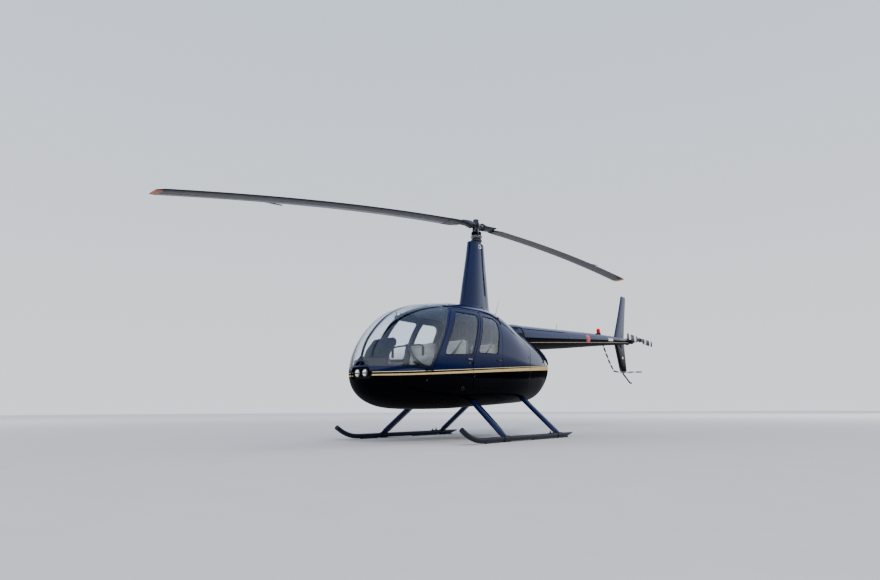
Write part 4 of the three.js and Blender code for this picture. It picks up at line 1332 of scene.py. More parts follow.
def dial(centre, radius, tilt, needle):
    """A round instrument that faces aft, leaned by the tilt: its rim, face and marks."""
    c, s = math.cos(tilt), math.sin(tilt)
    facing = np.array((-c, 0, -s))
    side, up = np.array((0, -1.0, 0)), np.array((-s, 0, c))
    rim = [
        (-0.002, radius + 0.004), (0.003, radius + 0.004), (0.005, radius + 0.001),
        (0.002, radius - 0.001),
    ]
    face = [(-0.001, radius), (0.0012, radius), (0.0013, 0.0004)]

    def mark(angle, rise, first, last, thick):
        way = side * math.sin(angle) + up * math.cos(angle)
        foot = centre + facing * rise
        return rod(foot + way * radius * first, foot + way * radius * last, thick, 6)

    marks = [mark(2 * math.pi * k / 12, 0.0018, 0.74, 0.93, 0.0008) for k in range(12)]
    marks.append(mark(needle, 0.0022, -0.15, 0.7, 0.0011))
    rim, face = (turned_part(profile, centre, facing, 28) for profile in (rim, face))
    return rim, face, joined(*marks)


HOOD = [
    (1.955, 1.225), (1.952, 1.285), (2.0, 1.312), (2.1, 1.292), (2.22, 1.162), (2.28, 1.04),
    (2.2, 0.985), (2.1, 1.04), (2.03, 1.15),
]
HOOD_CORNERS = [0.01, 0.012, 0.03, 0.05, 0.05, 0.03, 0.03, 0.02, 0.01]
PANEL_TILT, LOW_TILT = math.radians(17), math.radians(32)
PANEL_MIDDLE = np.array((1.962, 0.0, 1.246))
LOW_MIDDLE = np.array((2.062, 0.0, 1.098))
POST_TOP_X, POST_TOP_LEVEL, POST_FOOT_X, POST_HEIGHT = 2.055, 1.13, 1.90, 0.529


def post_face(level):
    """How far forward the aft face of the console's post is."""
    return POST_TOP_X - (POST_TOP_LEVEL - level) * (POST_TOP_X - POST_FOOT_X) / POST_HEIGHT


def console():
    hood = slab(rounded(HOOD, HOOD_CORNERS, 7), -0.14, 0.14, "y", 0.016)
    post = [(POST_TOP_X, POST_TOP_LEVEL), (2.165, 1.01), (2.14, 0.601), (POST_FOOT_X, 0.601)]
    post = slab(rounded(post, 0.02), -0.1, 0.1, "y", 0.01)
    down = np.array((math.sin(PANEL_TILT), 0, -math.cos(PANEL_TILT)))
    dials = [
        dial(
            PANEL_MIDDLE + (0, k * 0.083, 0) + down * 0.072 * i, 0.029, PANEL_TILT,
            0.9 + 1.1 * k + 0.7 * i,
        )
        for i in range(2) for k in (-1, 0, 1)
    ]
    dials += [
        dial(LOW_MIDDLE + (0, k * 0.058, 0), 0.02, LOW_TILT, 1.3 * k)
        for k in (-1.5, -0.5, 0.5, 1.5)
    ]
    rims, faces, marks = (joined(*parts) for parts in zip(*dials))
    knobs, screens = [], []
    for z in (0.97, 0.90, 0.83):
        x = post_face(z)
        screens.append(block((x - 0.012, -0.06, z - 0.022), (x + 0.03, 0.045, z + 0.022), 0.002))
        for y in (-0.078, 0.065):
            knobs.append(rod((x - 0.02, y, z), (x + 0.02, y, z), 0.009, 14))
    for k in range(6):
        x, y = post_face(0.76), -0.075 + 0.03 * k
        knobs.append(rod((x - 0.022, y, 0.765), (x + 0.02, y, 0.755), 0.004, 10))
    piece(
        "instrument_panel", "airframe",
        [
            (hood, paint.rubber), (post, paint.lining), (rims, paint.black), (faces, paint.dial),
            (marks, paint.mark), (joined(*knobs), paint.black), (joined(*screens), paint.dial),
        ],
        ("instrument_console",),
    )


CYCLIC_X, BAR_HALF = 1.6, 0.27
# Columns: distance down the grip, radius.
GRIP = [
    (0, 0.012), (0.004, 0.0165), (0.02, 0.0175), (0.035, 0.016), (0.05, 0.0175), (0.065, 0.016),
    (0.08, 0.0178), (0.1, 0.0165), (0.112, 0.014), (0.114, 0.004),
]
STICK_PATH = [(1.6, 0, 0.66), (1.61, 0, 0.9), (1.635, 0, 1.12), (1.625, 0, 1.2), (1.6, 0, 1.245)]
# Columns: offset to port, level.
BAR_PATH = [(BAR_HALF, 1.15), (BAR_HALF, 1.205), (BAR_HALF - 0.03, 1.237), (0.12, 1.245)]
PEDAL = rounded([(1.985, 0.72), (2.03, 0.81), (2.02, 0.815), (1.972, 0.725)], 0.004)


def controls():
    boot = [(0, 0.052)]
    for i in range(6):
        boot += [(0.008 + 0.014 * i, 0.05 - 0.005 * i), (0.015 + 0.014 * i, 0.04 - 0.005 * i)]
    boot = turned_part(boot, (CYCLIC_X, 0, FLOOR_LEVEL), Z, 24)
    stick = tube(smooth_path(STICK_PATH, 8), 0.015, 18)
    pivot = rod((CYCLIC_X, -0.035, 1.248), (CYCLIC_X, 0.035, 1.248), 0.021, 22)
    bar = [(CYCLIC_X, -y, z) for y, z in BAR_PATH] + [(CYCLIC_X, y, z) for y, z in BAR_PATH[::-1]]
    bar = tube(smooth_path(bar, 8), 0.011, 16)
    grips = []
    for y in (BAR_HALF, -BAR_HALF):
        grips.append(turned_part(GRIP, (CYCLIC_X, y, 1.208), -Z, 20))
        grips.append(rod((CYCLIC_X, y, 1.185), (1.578, y, 1.187), 0.005, 12))
    piece(
        "cyclic_control", "airframe",
        [
            (boot, paint.rubber), (stick, paint.black), (pivot, paint.dark_steel),
            (bar, paint.black), (joined(*grips), paint.rubber),
        ],
        ("cyclic_stick",),
    )
    pedals, arms, levers, handles = [], [], [], []
    for y in (-0.36, -0.2, 0.2, 0.36):
        arm = [(2.06, y, 0.605), (2.05, y, 0.66), (2.015, y, 0.72), (2.0, y, 0.76)]
        arms.append(tube(smooth_path(arm, 6), 0.009, 12))
        pedals.append(slab(PEDAL, y - 0.045, y + 0.045, "y", 0.003))
    for y in (0.0, 0.532):
        lever = [(1.02, y, 0.885), (1.2, y, 0.93), (1.35, y, 0.995), (1.46, y, 1.03)]
        levers.append(tube(smooth_path(lever, 6), 0.011, 14))
        handles.append(rod((1.35, y, 0.995), (1.475, y, 1.037), 0.0165, 20))
    piece(
        "pedals_and_levers", "airframe",
        [
            (joined(*arms), paint.dark_steel), (joined(*pedals), paint.steel),
            (joined(*levers), paint.black), (joined(*handles), paint.rubber),
        ],
    )
    bowl = [(0, 0.012), (0.006, 0.03), (0.05, 0.034), (0.056, 0.026)]
    compass = [
        turned_part(bowl, (1.84, 0, 1.60), -X, 24),
        rod((1.83, 0, 1.62), (1.815, 0, 1.70), 0.007, 12),
    ]
    card = [(0, 0.024), (0.0015, 0.024), (0.0016, 0.0004)]
    card = turned_part(card, (1.7835, 0, 1.60), -X, 24)
    piece("compass", "airframe", [(joined(*compass), paint.black), (card, paint.mark)])


console()
controls()


# The aft cowl and the tail boom.

INLET = [(-0.72, 1.57), (-0.72, 1.9), (-1.04, 1.9), (-1.0, 1.48)]
OUTLET = [
    (-1.20, 1.385), (-1.235, 1.335), (-1.35, 1.275), (-1.45, 1.222), (-1.60, 1.175), (-1.75, 1.155),
    (-2.1, 1.15), (-2.1, 1.6), (-1.20, 1.6),
]
OUTLET_RISE = -0.016
OUTLET_BAR = [(-1.285, 1.355), (-1.385, 1.315), (-1.48, 1.267), (-1.62, 1.22), (-1.76, 1.195)]
COWL_SEAM = [
    (0.34, 1.72), (0.20, 1.665), (0.02, 1.602), (-0.168, 1.53), (-0.40, 1.468), (-0.58, 1.405),
    (-0.65, 1.35), (-0.62, 1.26), (-0.55, 1.14), (-0.522, 1.0), (-0.516, 0.62),
]
# Columns: x, level, radius.
BOOM_STATIONS = np.array([
    (-0.6, 1.548, 0.2), (-0.85, 1.576, 0.212), (-1.0, 1.584, 0.214), (-1.6, 1.623, 0.205),
    (-2.65, 1.70, 0.178), (-4.4, 1.832, 0.122),
    (-5.4, 1.892, 0.082), (-5.8, 1.912, 0.064),
])
BOOM_SIDES = 48


def boom_table(at):
    return spline(-BOOM_STATIONS[:, 0], BOOM_STATIONS, at)


def boom_rings(extra=0.0, first=0.6, last=5.8, count=64):
    cos, sin = circle(BOOM_SIDES)
    return [
        np.stack([np.full(BOOM_SIDES, x), (r + extra) * cos, level + (r + extra) * sin], 1)
        for x, level, r in boom_table(np.linspace(first, last, count))
    ]


def boom_at(run):
    """x, level and radius of the boom at a distance aft of the mast."""
    return boom_table(np.array([run]))[0]


# Columns: height over the skin, radius.
RIVET = [(-0.001, 0.0035), (0.00064, 0.00315), (0.0016, 0.00105)]
LATCH = [(-0.002, 0.013), (0.002, 0.013), (0.003, 0.010), (0.003, 0.002)]


def aft_cowl():
    boom_hole = skin(boom_rings(0.006, 0.588))
    shell = carved(
        pod_shell(0, SKIN_DEPTH),
        ("INTERSECT", block((-2.2, -CUT_REACH, 0.2), (COWL_FACE - 0.003, CUT_REACH, 2.3), 0)),
        ("DIFFERENCE", side_cut(rounded(OUTLET, 0.012))),
        ("DIFFERENCE", slab(rounded(INLET, 0.01), -0.25, 0.25, "y")),
        ("DIFFERENCE", boom_hole),
    )
    piece(
        "aft_cowl_skin", "airframe", [(shell, paint.fuselage)], ("aft_cowl",),
        skin_normals=True, inside=paint.black,
    )
    grille = carved(
        pod_shell(OUTLET_RISE, 0.02),
        ("INTERSECT", side_cut(grown(rounded(OUTLET, 0.012), -0.002))),
        ("DIFFERENCE", boom_hole),
    )
    bar = both(pod_strip(OUTLET_BAR, 0.016, OUTLET_RISE - 0.003, OUTLET_RISE + 0.002, 8))
    piece(
        "cowl_outlet_grille", "airframe",
        [(grille, paint.rubber), (bar, paint.navy)], skin_normals=True,
    )
    seam = both(pod_strip(COWL_SEAM, 0.014, -0.0006, 0.004, 10))
    rows = along_path([(-0.545, 1.3), (-0.545, 0.75)], 0.075)
    heads = [pod_spot(RIVET, x, z, 8) for x, z in rows]
    latches = [pod_spot(LATCH, -0.49, z, 20) for z in (1.18, 0.86)]
    piece(
        "cowl_seams", "airframe",
        [
            (seam, paint.rubber), (both(joined(*heads)), paint.dark_steel),
            (both(joined(*latches)), paint.dark_steel),
        ],
    )
    boom_hood()


HOOD_START, HOOD_END = 0.64, 1.022
HOOD_STEPS, HOOD_SIDES = 22, 44
HOOD_REACH = (math.radians(14), math.radians(166))
HOOD_SLOT = [(-0.755, 1.678), (-0.75, 1.722), (-0.882, 1.738), (-0.888, 1.694)]
HOOD_CRESCENT = [
    (-0.93, 1.745), (-0.952, 1.70), (-0.965, 1.65), (-0.985, 1.59), (-1.012, 1.59), (-1.005, 1.65),
    (-0.998, 1.70), (-0.985, 1.745),
]


def boom_hood():
    """The hood over the boom's root, with a slot and a crescent cut in each side, over a dark
    sleeve that is painted shade in its gaps.
    """
    angles = np.linspace(*HOOD_REACH, HOOD_SIDES)
    cos, sin = np.cos(angles), np.sin(angles)
    rings = []
    for t in np.linspace(0, 1, HOOD_STEPS):
        x, level, r = boom_at(HOOD_START + (HOOD_END - HOOD_START) * t)
        bend = 0.012 * np.abs(cos) ** 1.5
        layers = []
        for rise in (0.0045 + 0.003 * t, 0.002 + 0.003 * t):
            layers.append(np.stack([x - bend, (r + rise) * cos, level + (r + rise) * sin], 1))
        rings.append(np.concatenate([layers[0], layers[1][::-1]]))
    hood = skin(rings)
    for outline in (HOOD_SLOT, HOOD_CRESCENT):
        cut = slab(rounded(outline, 0.012), 0.03, 0.35, "y")
        hood = carved(hood, ("DIFFERENCE", cut), ("DIFFERENCE", cut.mirrored()))
    # A dark sleeve round the boom under the hood: painted shade that shows through the slot, the
    # crescent and the gap at the aft rim.
    dark = skin(boom_rings(0.0012, 0.72, HOOD_END + 0.006, 12))
    piece(
        "boom_root_hood", "airframe", [(hood, paint.navy), (dark, paint.rubber)],
    )


BOOM_CAP = [(-0.01, 0.001), (0.01, 0.001), (0.03, -0.01), (0.036, -0.03)]  # run, change of radius
# Columns: distance aft of the mast, length, lowest and highest angle round the boom.
BOOM_PLATES = [(3.46, 0.17, -30, 32), (4.59, 0.26, -13, 20)]
PLATE_STEPS, PLATE_RISE, PLATE_ROOT = 8, 0.0012, 0.001


def boom_plate(run, length, lowest, highest):
    """A thin plate that follows the boom's port side."""
    angles = np.radians(np.linspace(lowest, highest, PLATE_STEPS))
    cos, sin = np.cos(angles), np.sin(angles)
    rings = []
    for at in (run, run + length):
        x, level, r = boom_at(at)
        x = np.full(PLATE_STEPS, x)
        outer, inner = (
            np.stack([x, radius * cos, level + radius * sin], 1)
            for radius in (r + PLATE_RISE, r - PLATE_ROOT)
        )
        rings.append(np.concatenate([outer, inner[::-1]]))
    return skin(rings)


def tail_boom():
    bands = [
        skin(boom_rings(0.0012, run - 0.012, run + 0.012, 3)) for run in (2.65, 3.5, 4.4, 5.25)
    ]
    x, level, r = boom_at(5.8)
    cap = [(run, r + change) for run, change in BOOM_CAP] + [(0.037, 0.0)]
    cap = turned_part(cap, (x, 0, level), -X, 40)
    red, pale = (boom_plate(*plate) for plate in BOOM_PLATES)
    aerial = rod((-2.52, 0, 1.85), (-2.53, 0, 1.99), 0.004, 10, end_radius=0.002)
    piece(
        "tail_boom_tube", "airframe",
        [
            (skin(boom_rings()), paint.boom), (joined(*bands), paint.boom), (cap, paint.navy),
            (red, paint.red), (pale, paint.plate), (aerial, paint.dark_steel),
        ],
        ("tail_boom",),
    )


aft_cowl()
tail_boom()


# Trim on the cabin's outside.

GUTTER = [
    (1.34, 1.772), (1.2, 1.774), (0.9, 1.774), (0.58, 1.776), (0.42, 1.768), (0.30, 1.742),
    (0.225, 1.69), (0.205, 1.62),
]
# Columns: x and y of the pin, its levels, depth of the fixed leaf, reach of the moving leaf,
# and the handle's place in the side view.
HINGES = {
    "front": (1.86, 0.566, (0.77, 0.88), 0.03, 0.115, (1.075, 1.06)),
    "rear": (1.0, 0.656, (0.845, 1.005), 0.05, 0.065, (0.385, 1.08)),
}
KNUCKLE, KNUCKLE_HEIGHT, KNUCKLE_GAP = 0.006, 0.022, 0.0003
LEAF_STEPS, LEAF_RISE = 9, 0.0035
# Columns: height over the skin, radius.
LIGHT_BASE = [(-0.004, 0.032), (0.004, 0.03), (0.008, 0.026), (0.008, 0.004)]
LIGHT_LENS = [(0.007, 0.022), (0.020, 0.020), (0.030, 0.013), (0.033, 0.004), (0.0332, 0.0003)]
LOCK = [(-0.002, 0.009), (0.002, 0.009), (0.003, 0.006), (0.003, 0.001)]


def cabin_trim():
    gutter = both(pod_strip(GUTTER, 0.012, -0.006, 0.002, 8))
    roof = [(1.03, 0.02), (1.03, 0.2), (1.03, 0.4)]
    roof = both(pod_strip(roof, 0.005, -0.0003, 0.003, place=pod_roof))
    piece("cabin_trim", "airframe", [(joined(gutter, roof), paint.rubber)])
    base, lens = (pod_spot(profile, 1.2, 0.672, 24) for profile in (LIGHT_BASE, LIGHT_LENS))
    piece(
        "side_lights", "airframe",
        [(both(base), paint.black), (lens, paint.red_lens), (lens.mirrored(), paint.green_lens)],
    )


def moving_leaf(x, y, z, reach):
    """A hinge's leaf that leaves the door's skin and ends at the pin."""
    at = np.linspace(x - reach, x - 0.004, LEAF_STEPS)
    feet = pod_side(np.minimum(at, 2.4), np.full(LEAF_STEPS, z))
    rings = []
    for foot, here in zip(feet, at):
        far = min(1.0, max(0.0, (here - (x - reach)) / reach)) ** 1.5
        centre = foot[1] + LEAF_RISE + (y - foot[1] - LEAF_RISE) * far
        rings.append([(here, centre + a * 0.0022, z + b * 0.0085) for a, b in RIM_SIGNS])
    return skin(rings)


def door_fittings():
    for which, (x, y, levels, depth, reach, (handle_x, handle_z)) in HINGES.items():
        fixed, moving = [], []
        for level in levels:
            low, high = level - KNUCKLE_HEIGHT, level + KNUCKLE_HEIGHT
            fixed.append(rod((x, y, low), (x, y, level - KNUCKLE_GAP), KNUCKLE, 16, 0.08))
            foot = (x - 0.0028, y - depth, low + 0.002)
            fixed.append(block(foot, (x + 0.0028, y, level - 0.002), 0.001))
            moving.append(rod((x, y, level + KNUCKLE_GAP), (x, y, high), KNUCKLE, 16, 0.08))
            moving.append(moving_leaf(x, y, level + KNUCKLE_HEIGHT / 2, reach))
        out = pod_side([handle_x], [handle_z])[0][1]
        dish = [(handle_x - 0.055, handle_z), (handle_x + 0.055, handle_z)]
        dish = pod_strip(dish, 0.042, -0.0015, 0.004, 8)
        grip = block(
            (handle_x - 0.045, out + 0.004, handle_z - 0.009),
            (handle_x + 0.045, out + 0.016, handle_z + 0.009), 0.004, 0.006,
        )
        handle = joined(grip, pod_spot(LOCK, handle_x, handle_z - 0.05, 18))
        # The front door's handle is bright steel and the rear one's dark steel: painted highlight
        # and painted shade on the same fitting.
        handle_painted_light = paint.steel if which == "front" else paint.dark_steel
        fixed, moving = joined(*fixed), joined(*moving)
        for side, sign in SIDES:
            piece(
                f"hinge_{which}_{side}_fixed", "airframe",
                [(for_side(fixed, sign), paint.dark_steel)],
            )
            piece(
                f"door_{which}_{side}_fittings", f"door_{which}_{side}",
                [
                    (for_side(moving, sign), paint.night), (for_side(dish, sign), paint.black),
                    (for_side(handle, sign), handle_painted_light),
                ],
            )


cabin_trim()
door_fittings()


# Wing-like parts.


FOIL_FULLNESS, FOIL_MIDDLE, FOIL_NOSE = 1.25, 0.62, 0.38


def foil_half(cos, sin):
    """Offset across a foil of thickness 2, at the cosine and sine of an angle round it."""
    return FOIL_FULLNESS * sin * (FOIL_MIDDLE + FOIL_NOSE * cos)


def foil(chord, thickness, count=40):
    """A streamlined outline, as offsets along the chord and across it."""
    cos, sin = circle(count)
    return chord / 2 * cos, thickness / 2 * foil_half(cos, sin)


def foil_rings(stations, steps, count):
    """Columns: centre, chord direction, thickness direction, chord, thickness."""
    table = np.array([np.concatenate([np.ravel(v) for v in s]) for s in stations], float)
    knots = np.concatenate([[0], np.cumsum(np.linalg.norm(np.diff(table[:, :3], axis=0), axis=1))])
    at = np.unique(np.concatenate([np.linspace(a, b, steps) for a, b in zip(knots, knots[1:])]))
    rows = np.stack([np.interp(at, knots, table[:, i]) for i in range(table.shape[1])], 1)
    rings = []
    for r in rows:
        along, across = foil(r[9], r[10], count)
        rings.append(r[:3] + np.outer(along, r[3:6]) + np.outer(across, r[6:9]))
    return rings


def foil_loft(stations, steps=10, count=40):
    return skin(foil_rings(stations, steps, count))


FAIRING_TOP = 3.0
# Columns: level, x of the middle, chord, thickness.
FAIRING_STATIONS = [
    (1.79, 0.061, 0.763, 0.306), (2.3, 0.035, 0.61, 0.252), (2.75, 0.012, 0.46, 0.205),
    (FAIRING_TOP, 0.002, 0.389, 0.184),
]
# Columns: level, share of the chord from the nose.
FAIRING_SEAM = [
    (3.01, 0.698), (2.82, 0.702), (2.66, 0.711), (2.45, 0.75), (2.24, 0.785), (1.95, 0.80),
]
# A black core inside the fairing: painted shade that shows through the seam.
# Columns: level, x of the middle, chord, thickness.
FAIRING_SHADE_CORE = [
    (1.8, 0.061, 0.74, 0.285), (2.3, 0.035, 0.59, 0.232), (2.75, 0.012, 0.44, 0.185),
    (2.995, 0.002, 0.369, 0.164),
]
FAIRING_FOOT = [
    (1.86, 0.058, 0.785, 0.335), (1.935, 0.057, 0.768, 0.318), (1.955, 0.055, 0.735, 0.296),
]
MAST_RING = [(-0.008, 0.034), (0.0035, 0.034), (0.0042, 0.031), (0.0035, 0.026), (-0.008, 0.025)]
FAIRING_RIVET = [(-0.002, 0.004), (0.0008, 0.0036), (0.0016, 0.001)]


def fairing_loft(rows, steps, sides):
    stations = [((x, 0, z), X, Y, chord, thick) for z, x, chord, thick in rows]
    return foil_loft(stations, steps, sides)


def mast_fairing():
    table, seam_table = np.array(FAIRING_STATIONS), np.array(FAIRING_SEAM)
    ahead, behind = [], []
    for z, share in FAIRING_SEAM:
        x, chord = (np.interp(z, table[:, 0], table[:, i]) for i in (1, 2))
        half = 0.011 if 2.2 < z < 2.5 else 0.0035
        middle = x + chord / 2 - share * chord
        ahead.append((middle + half, z))
        behind.append((middle - half, z))
    seam = slab(behind + ahead[::-1], -0.4, 0.4, "y")
    shell = carved(fairing_loft(FAIRING_STATIONS, 14, 64), ("DIFFERENCE", seam))
    ring = turned_part(MAST_RING, (0.023, 0.081, 2.93), Y, 24)
    ring_right = turned_part(MAST_RING, (0.023, -0.081, 2.93), -Y, 24)
    heads = []
    for z in np.arange(2.0, 2.98, 0.085):
        x, chord, thick = (np.interp(z, table[:, 0], table[:, i]) for i in (1, 2, 3))
        share = np.interp(-z, -seam_table[:, 0], seam_table[:, 1]) - 0.045
        u = 1 - 2 * share
        half = thick / 2 * foil_half(u, math.sqrt(1 - u * u))
        for sign in (1, -1):
            place = (x + chord / 2 * u, sign * half, z)
            heads.append(turned_part(FAIRING_RIVET, place, Y * sign, 8))
    piece(
        "mast_fairing_skin", "airframe",
        [
            # The black core is painted shade seen through the fairing's seam.
            (shell, paint.navy), (fairing_loft(FAIRING_SHADE_CORE, 4, 48), paint.black),
            (joined(ring, ring_right), paint.mark),
            (fairing_loft(FAIRING_FOOT, 4, 64), paint.navy), (joined(*heads), paint.dark_steel),
        ],
        ("mast_fairing",),
    )


def fin(rows):
    return foil_loft([(((a + b) / 2, 0, z), X, Y, a - b, t) for z, a, b, t in rows], 10, 48)


# Columns: level, x of the leading and trailing edge, thickness.
UPPER_FIN = [
    (1.86, -5.10, -5.665, 0.058), (2.0, -5.16, -5.69, 0.056), (2.4, -5.385, -5.79, 0.046),
    (2.86, -5.622, -5.915, 0.036), (2.945, -5.655, -5.93, 0.030), (2.96, -5.67, -5.935, 0.022),
    (2.965, -5.695, -5.925, 0.008),
]
LOWER_FIN = [
    (1.9, -5.11, -5.68, 0.056), (1.28, -5.335, -5.728, 0.038), (1.215, -5.375, -5.742, 0.03),
    (1.203, -5.385, -5.742, 0.022), (1.2, -5.405, -5.735, 0.008),
]
# Columns: offset to port, x of the leading and trailing edge, thickness.
STABILISER = [
    (-0.02, -4.7, -5.08, 0.04), (-1.09, -4.7, -5.08, 0.04), (-1.106, -4.71, -5.075, 0.026),
    (-1.112, -4.73, -5.065, 0.01),
]
FIN_PLATE = [(-5.46, 1.495), (-5.53, 1.495), (-5.54, 1.545), (-5.47, 1.545)]


def fins():
    piece(
        "upper_fin_skin", "airframe", [(fin(UPPER_FIN), paint.navy)], ("upper_fin",),
    )
    plate = slab(rounded(FIN_PLATE, 0.006), 0.0205, 0.0245, "y", 0.0008)
    shoe = block((-5.76, -0.035, 1.193), (-5.37, 0.035, 1.204), 0.003, 0.02)
    piece(
        "lower_fin_skin", "airframe",
        [(fin(LOWER_FIN[::-1]), paint.night), (plate, paint.plate), (shoe, paint.black)],
        ("lower_fin",),
    )
    rows = [(((a + b) / 2, y, 1.85), X, Z, a - b, t) for y, a, b, t in STABILISER]
    plane = foil_loft(rows, 10, 48)
    piece("stabiliser_skin", "airframe", [(plane, paint.navy)], ("stabiliser",))


mast_fairing()
fins()


# The tail rotor, its gearbox and its guard.

GUARD_PATH = [
    (-4.502, 0.02, 1.735), (-4.637, 0.03, 1.524), (-4.746, 0.045, 1.356), (-4.85, 0.058, 1.235),
    (-4.885, 0.063, 1.205), (-4.93, 0.07, 1.192), (-5.158, 0.085, 1.187), (-5.65, 0.11, 1.206),
    (-6.20, 0.15, 1.234),
]
SKID_ROD = [
    (-5.50, 0, 1.2), (-5.555, 0, 1.15), (-5.68, 0, 1.085), (-5.80, 0, 1.02), (-5.90, 0, 0.975),
    (-5.97, 0, 0.978),
]
TAIL_CENTRE = np.array((MAST_Y - TAIL_HUB[1], TAIL_HUB[0], TAIL_HUB[2]))
TAIL_RADIUS, TAIL_TURN = 0.735, math.radians(2.7)
GUARD_RADIUS, GUARD_STAY = 0.016, [(-5.56, 0.1, 1.203), (-5.56, 0.06, 1.203), (-5.56, 0.02, 1.2)]
# Columns: distance along the axis, radius.
GEAR_CASE = [(-0.02, 0.060), (0.0, 0.074), (0.05, 0.078), (0.10, 0.072), (0.13, 0.05), (0.135, 0.0)]
GEAR_ARM = [
    (0.0, 0.06), (0.06, 0.058), (0.10, 0.046), (0.14, 0.042), (0.20, 0.034), (0.235, 0.03),
    (0.236, 0.0),
]
GEAR_RIB = [(0, 0.058), (0.002, 0.070), (0.006, 0.070), (0.008, 0.058)]
GEAR_WINDOW = [(0, 0.012), (0.004, 0.012), (0.005, 0.009), (0.003, 0.008), (0.003, 0.001)]
GEAR_BOLT, BOLT_CIRCLE = [(0, 0.006), (0.007, 0.006), (0.008, 0.003)], 0.066
GUARD_KNOB = [
    (-0.02, 0.008), (-0.014, 0.016), (0, 0.02), (0.014, 0.016), (0.02, 0.008), (0.021, 0.0),
]


def tail_gear():
    x, _, z = TAIL_CENTRE
    low = z - 0.012
    case = [
        turned_part(GEAR_CASE, (x + 0.08, 0, low), -X, 40),
        turned_part(GEAR_ARM, (x, 0.02, z), Y, 32),
        rod((x, 0.02, z), (x, 0.2717, z), 0.02, 20, 0.05),
    ]
    case += [turned_part(GEAR_RIB, (x, y, z), Y, 32) for y in (0.075, 0.095, 0.115)]
    bolts = []
    for k in range(8):
        a = 2 * math.pi * k / 8
        place = (x + 0.085, BOLT_CIRCLE * math.cos(a), low + BOLT_CIRCLE * math.sin(a))
        bolts.append(turned_part(GEAR_BOLT, place, X, 6))
    bolts.append(turned_part(GEAR_WINDOW, (x + 0.02, 0, z - 0.088), -Z, 20))
    piece(
        "tail_gearbox_case", "airframe",
        [(joined(*case), paint.dark_metal), (joined(*bolts), paint.steel)], ("tail_gearbox",),
    )
    guard = tube(smooth_path(GUARD_PATH, 8), GUARD_RADIUS, 16)
    ends = joined(tube(GUARD_STAY, 0.009, 12), turned_part(GUARD_KNOB, GUARD_PATH[-1], X, 20))
    piece(
        "guard_tube", "airframe", [(guard, paint.guard), (ends, paint.black)],
        ("tail_rotor_guard",),
    )
    skid = tube(smooth_path(SKID_ROD, 8), 0.016, 14)
    piece("tail_skid_rod", "airframe", [(skid, paint.dark_metal)], ("tail_skid",))


# Columns: share of the radius, chord, thickness.
TAIL_BLADE = [
    (0.16, 0.07, 0.026), (0.26, 0.132, 0.02), (0.6, 0.132, 0.017), (0.97, 0.132, 0.015),
    (1.0, 0.118, 0.008),
]
# Columns: distance along the axis, radius.
TAIL_GRIP = [
    (0.03, 0.022), (0.035, 0.027), (0.09, 0.026), (0.12, 0.022), (0.15, 0.018), (0.152, 0.0),
]
TAIL_HUB_CASE = [
    (-0.027, 0.03), (-0.022, 0.044), (0.0, 0.046), (0.02, 0.040), (0.03, 0.036), (0.034, 0.028),
    (0.0345, 0.0),
]
TAIL_SLIDER = [
    (0.036, 0.02), (0.04, 0.026), (0.052, 0.026), (0.056, 0.012), (0.066, 0.010), (0.067, 0.0),
]


def tail_rotor():
    c, s = math.cos(TAIL_TURN), math.sin(TAIL_TURN)

    def placed(*shapes):
        return joined(*shapes).turned(((c, 0, -s), (0, 1, 0), (s, 0, c))).shifted(*TAIL_CENTRE)

    rows = [
        ((-share * TAIL_RADIUS, 0, 0), Z, Y, chord, thick) for share, chord, thick in TAIL_BLADE
    ]
    blade = foil_loft(rows, 8, 32)
    grips, bolts, links = [], [], []
    for sign in (1, -1):
        grips.append(turned_part(TAIL_GRIP, (0, 0, 0), X * sign, 24))
        for x in (sign * 0.115, sign * 0.145):
            bolts.append(rod((x, -0.02, 0.0), (x, 0.02, 0.0), 0.006, 6))
        x = sign * 0.07
        links.append(rod((sign * 0.05, 0.045, 0.03), (x, 0.0, 0.045), 0.004, 10))
        links.append(block((x - 0.012, -0.006, 0.0), (x + 0.012, 0.006, 0.05), 0.002))
    hub = turned_part(TAIL_HUB_CASE, (0, 0, 0), Y, 32)
    slider = turned_part(TAIL_SLIDER, (0, 0, 0), Y, 24)
    piece(
        "tail_rotor_blades", "tail_rotor",
        [
            (placed(blade, blade.turned(np.diag((-1.0, 1.0, -1.0)))), paint.tail_blade),
            (placed(hub, *grips), paint.dark_steel), (placed(slider, *bolts, *links), paint.steel),
        ],
        ("tail_rotor",),
    )


BEACON_FOOT = (-4.35, 0, 1.93)
BEACON_BASE = [(-0.06, 0.05), (0.03, 0.050), (0.045, 0.046), (0.05, 0.042), (0.05, 0.0)]
BEACON_TOP = [(0.124, 0.036), (0.136, 0.028), (0.1435, 0.014), (0.145, 0.001)]
WHIP_PATH = [
    (-0.252, 0.15, 1.835), (-0.30, 0.15, 1.934), (-0.345, 0.15, 2.028), (-0.379, 0.15, 2.098),
]
WHIP_RADII = [0.0035, 0.003, 0.0025, 0.002]
WHIP_FOOT = [(-0.06, 0.014), (0.0, 0.013), (0.004, 0.009), (0.012, 0.006), (0.0125, 0.0)]


def lights_and_aerials():
    lens = [(0.05, 0.040)]
    for i in range(5):
        lens += [(0.055 + 0.013 * i, 0.0395), (0.061 + 0.013 * i, 0.037)]
    piece(
        "beacon_lamp", "airframe",
        [
            (turned_part(BEACON_BASE, BEACON_FOOT, Z, 32), paint.black),
            (turned_part(lens + BEACON_TOP, BEACON_FOOT, Z, 32), paint.red_glow),
        ],
        ("beacon",),
    )
    piece(
        "whip_aerial_rod", "airframe",
        [
            (tube(WHIP_PATH, WHIP_RADII, 10), paint.black),
            (turned_part(WHIP_FOOT, (-0.252, 0.15, 1.842), Z, 20), paint.rubber),
        ],
        ("whip_aerial",),
    )


tail_gear()
tail_rotor()
lights_and_aerials()


# The landing gear.

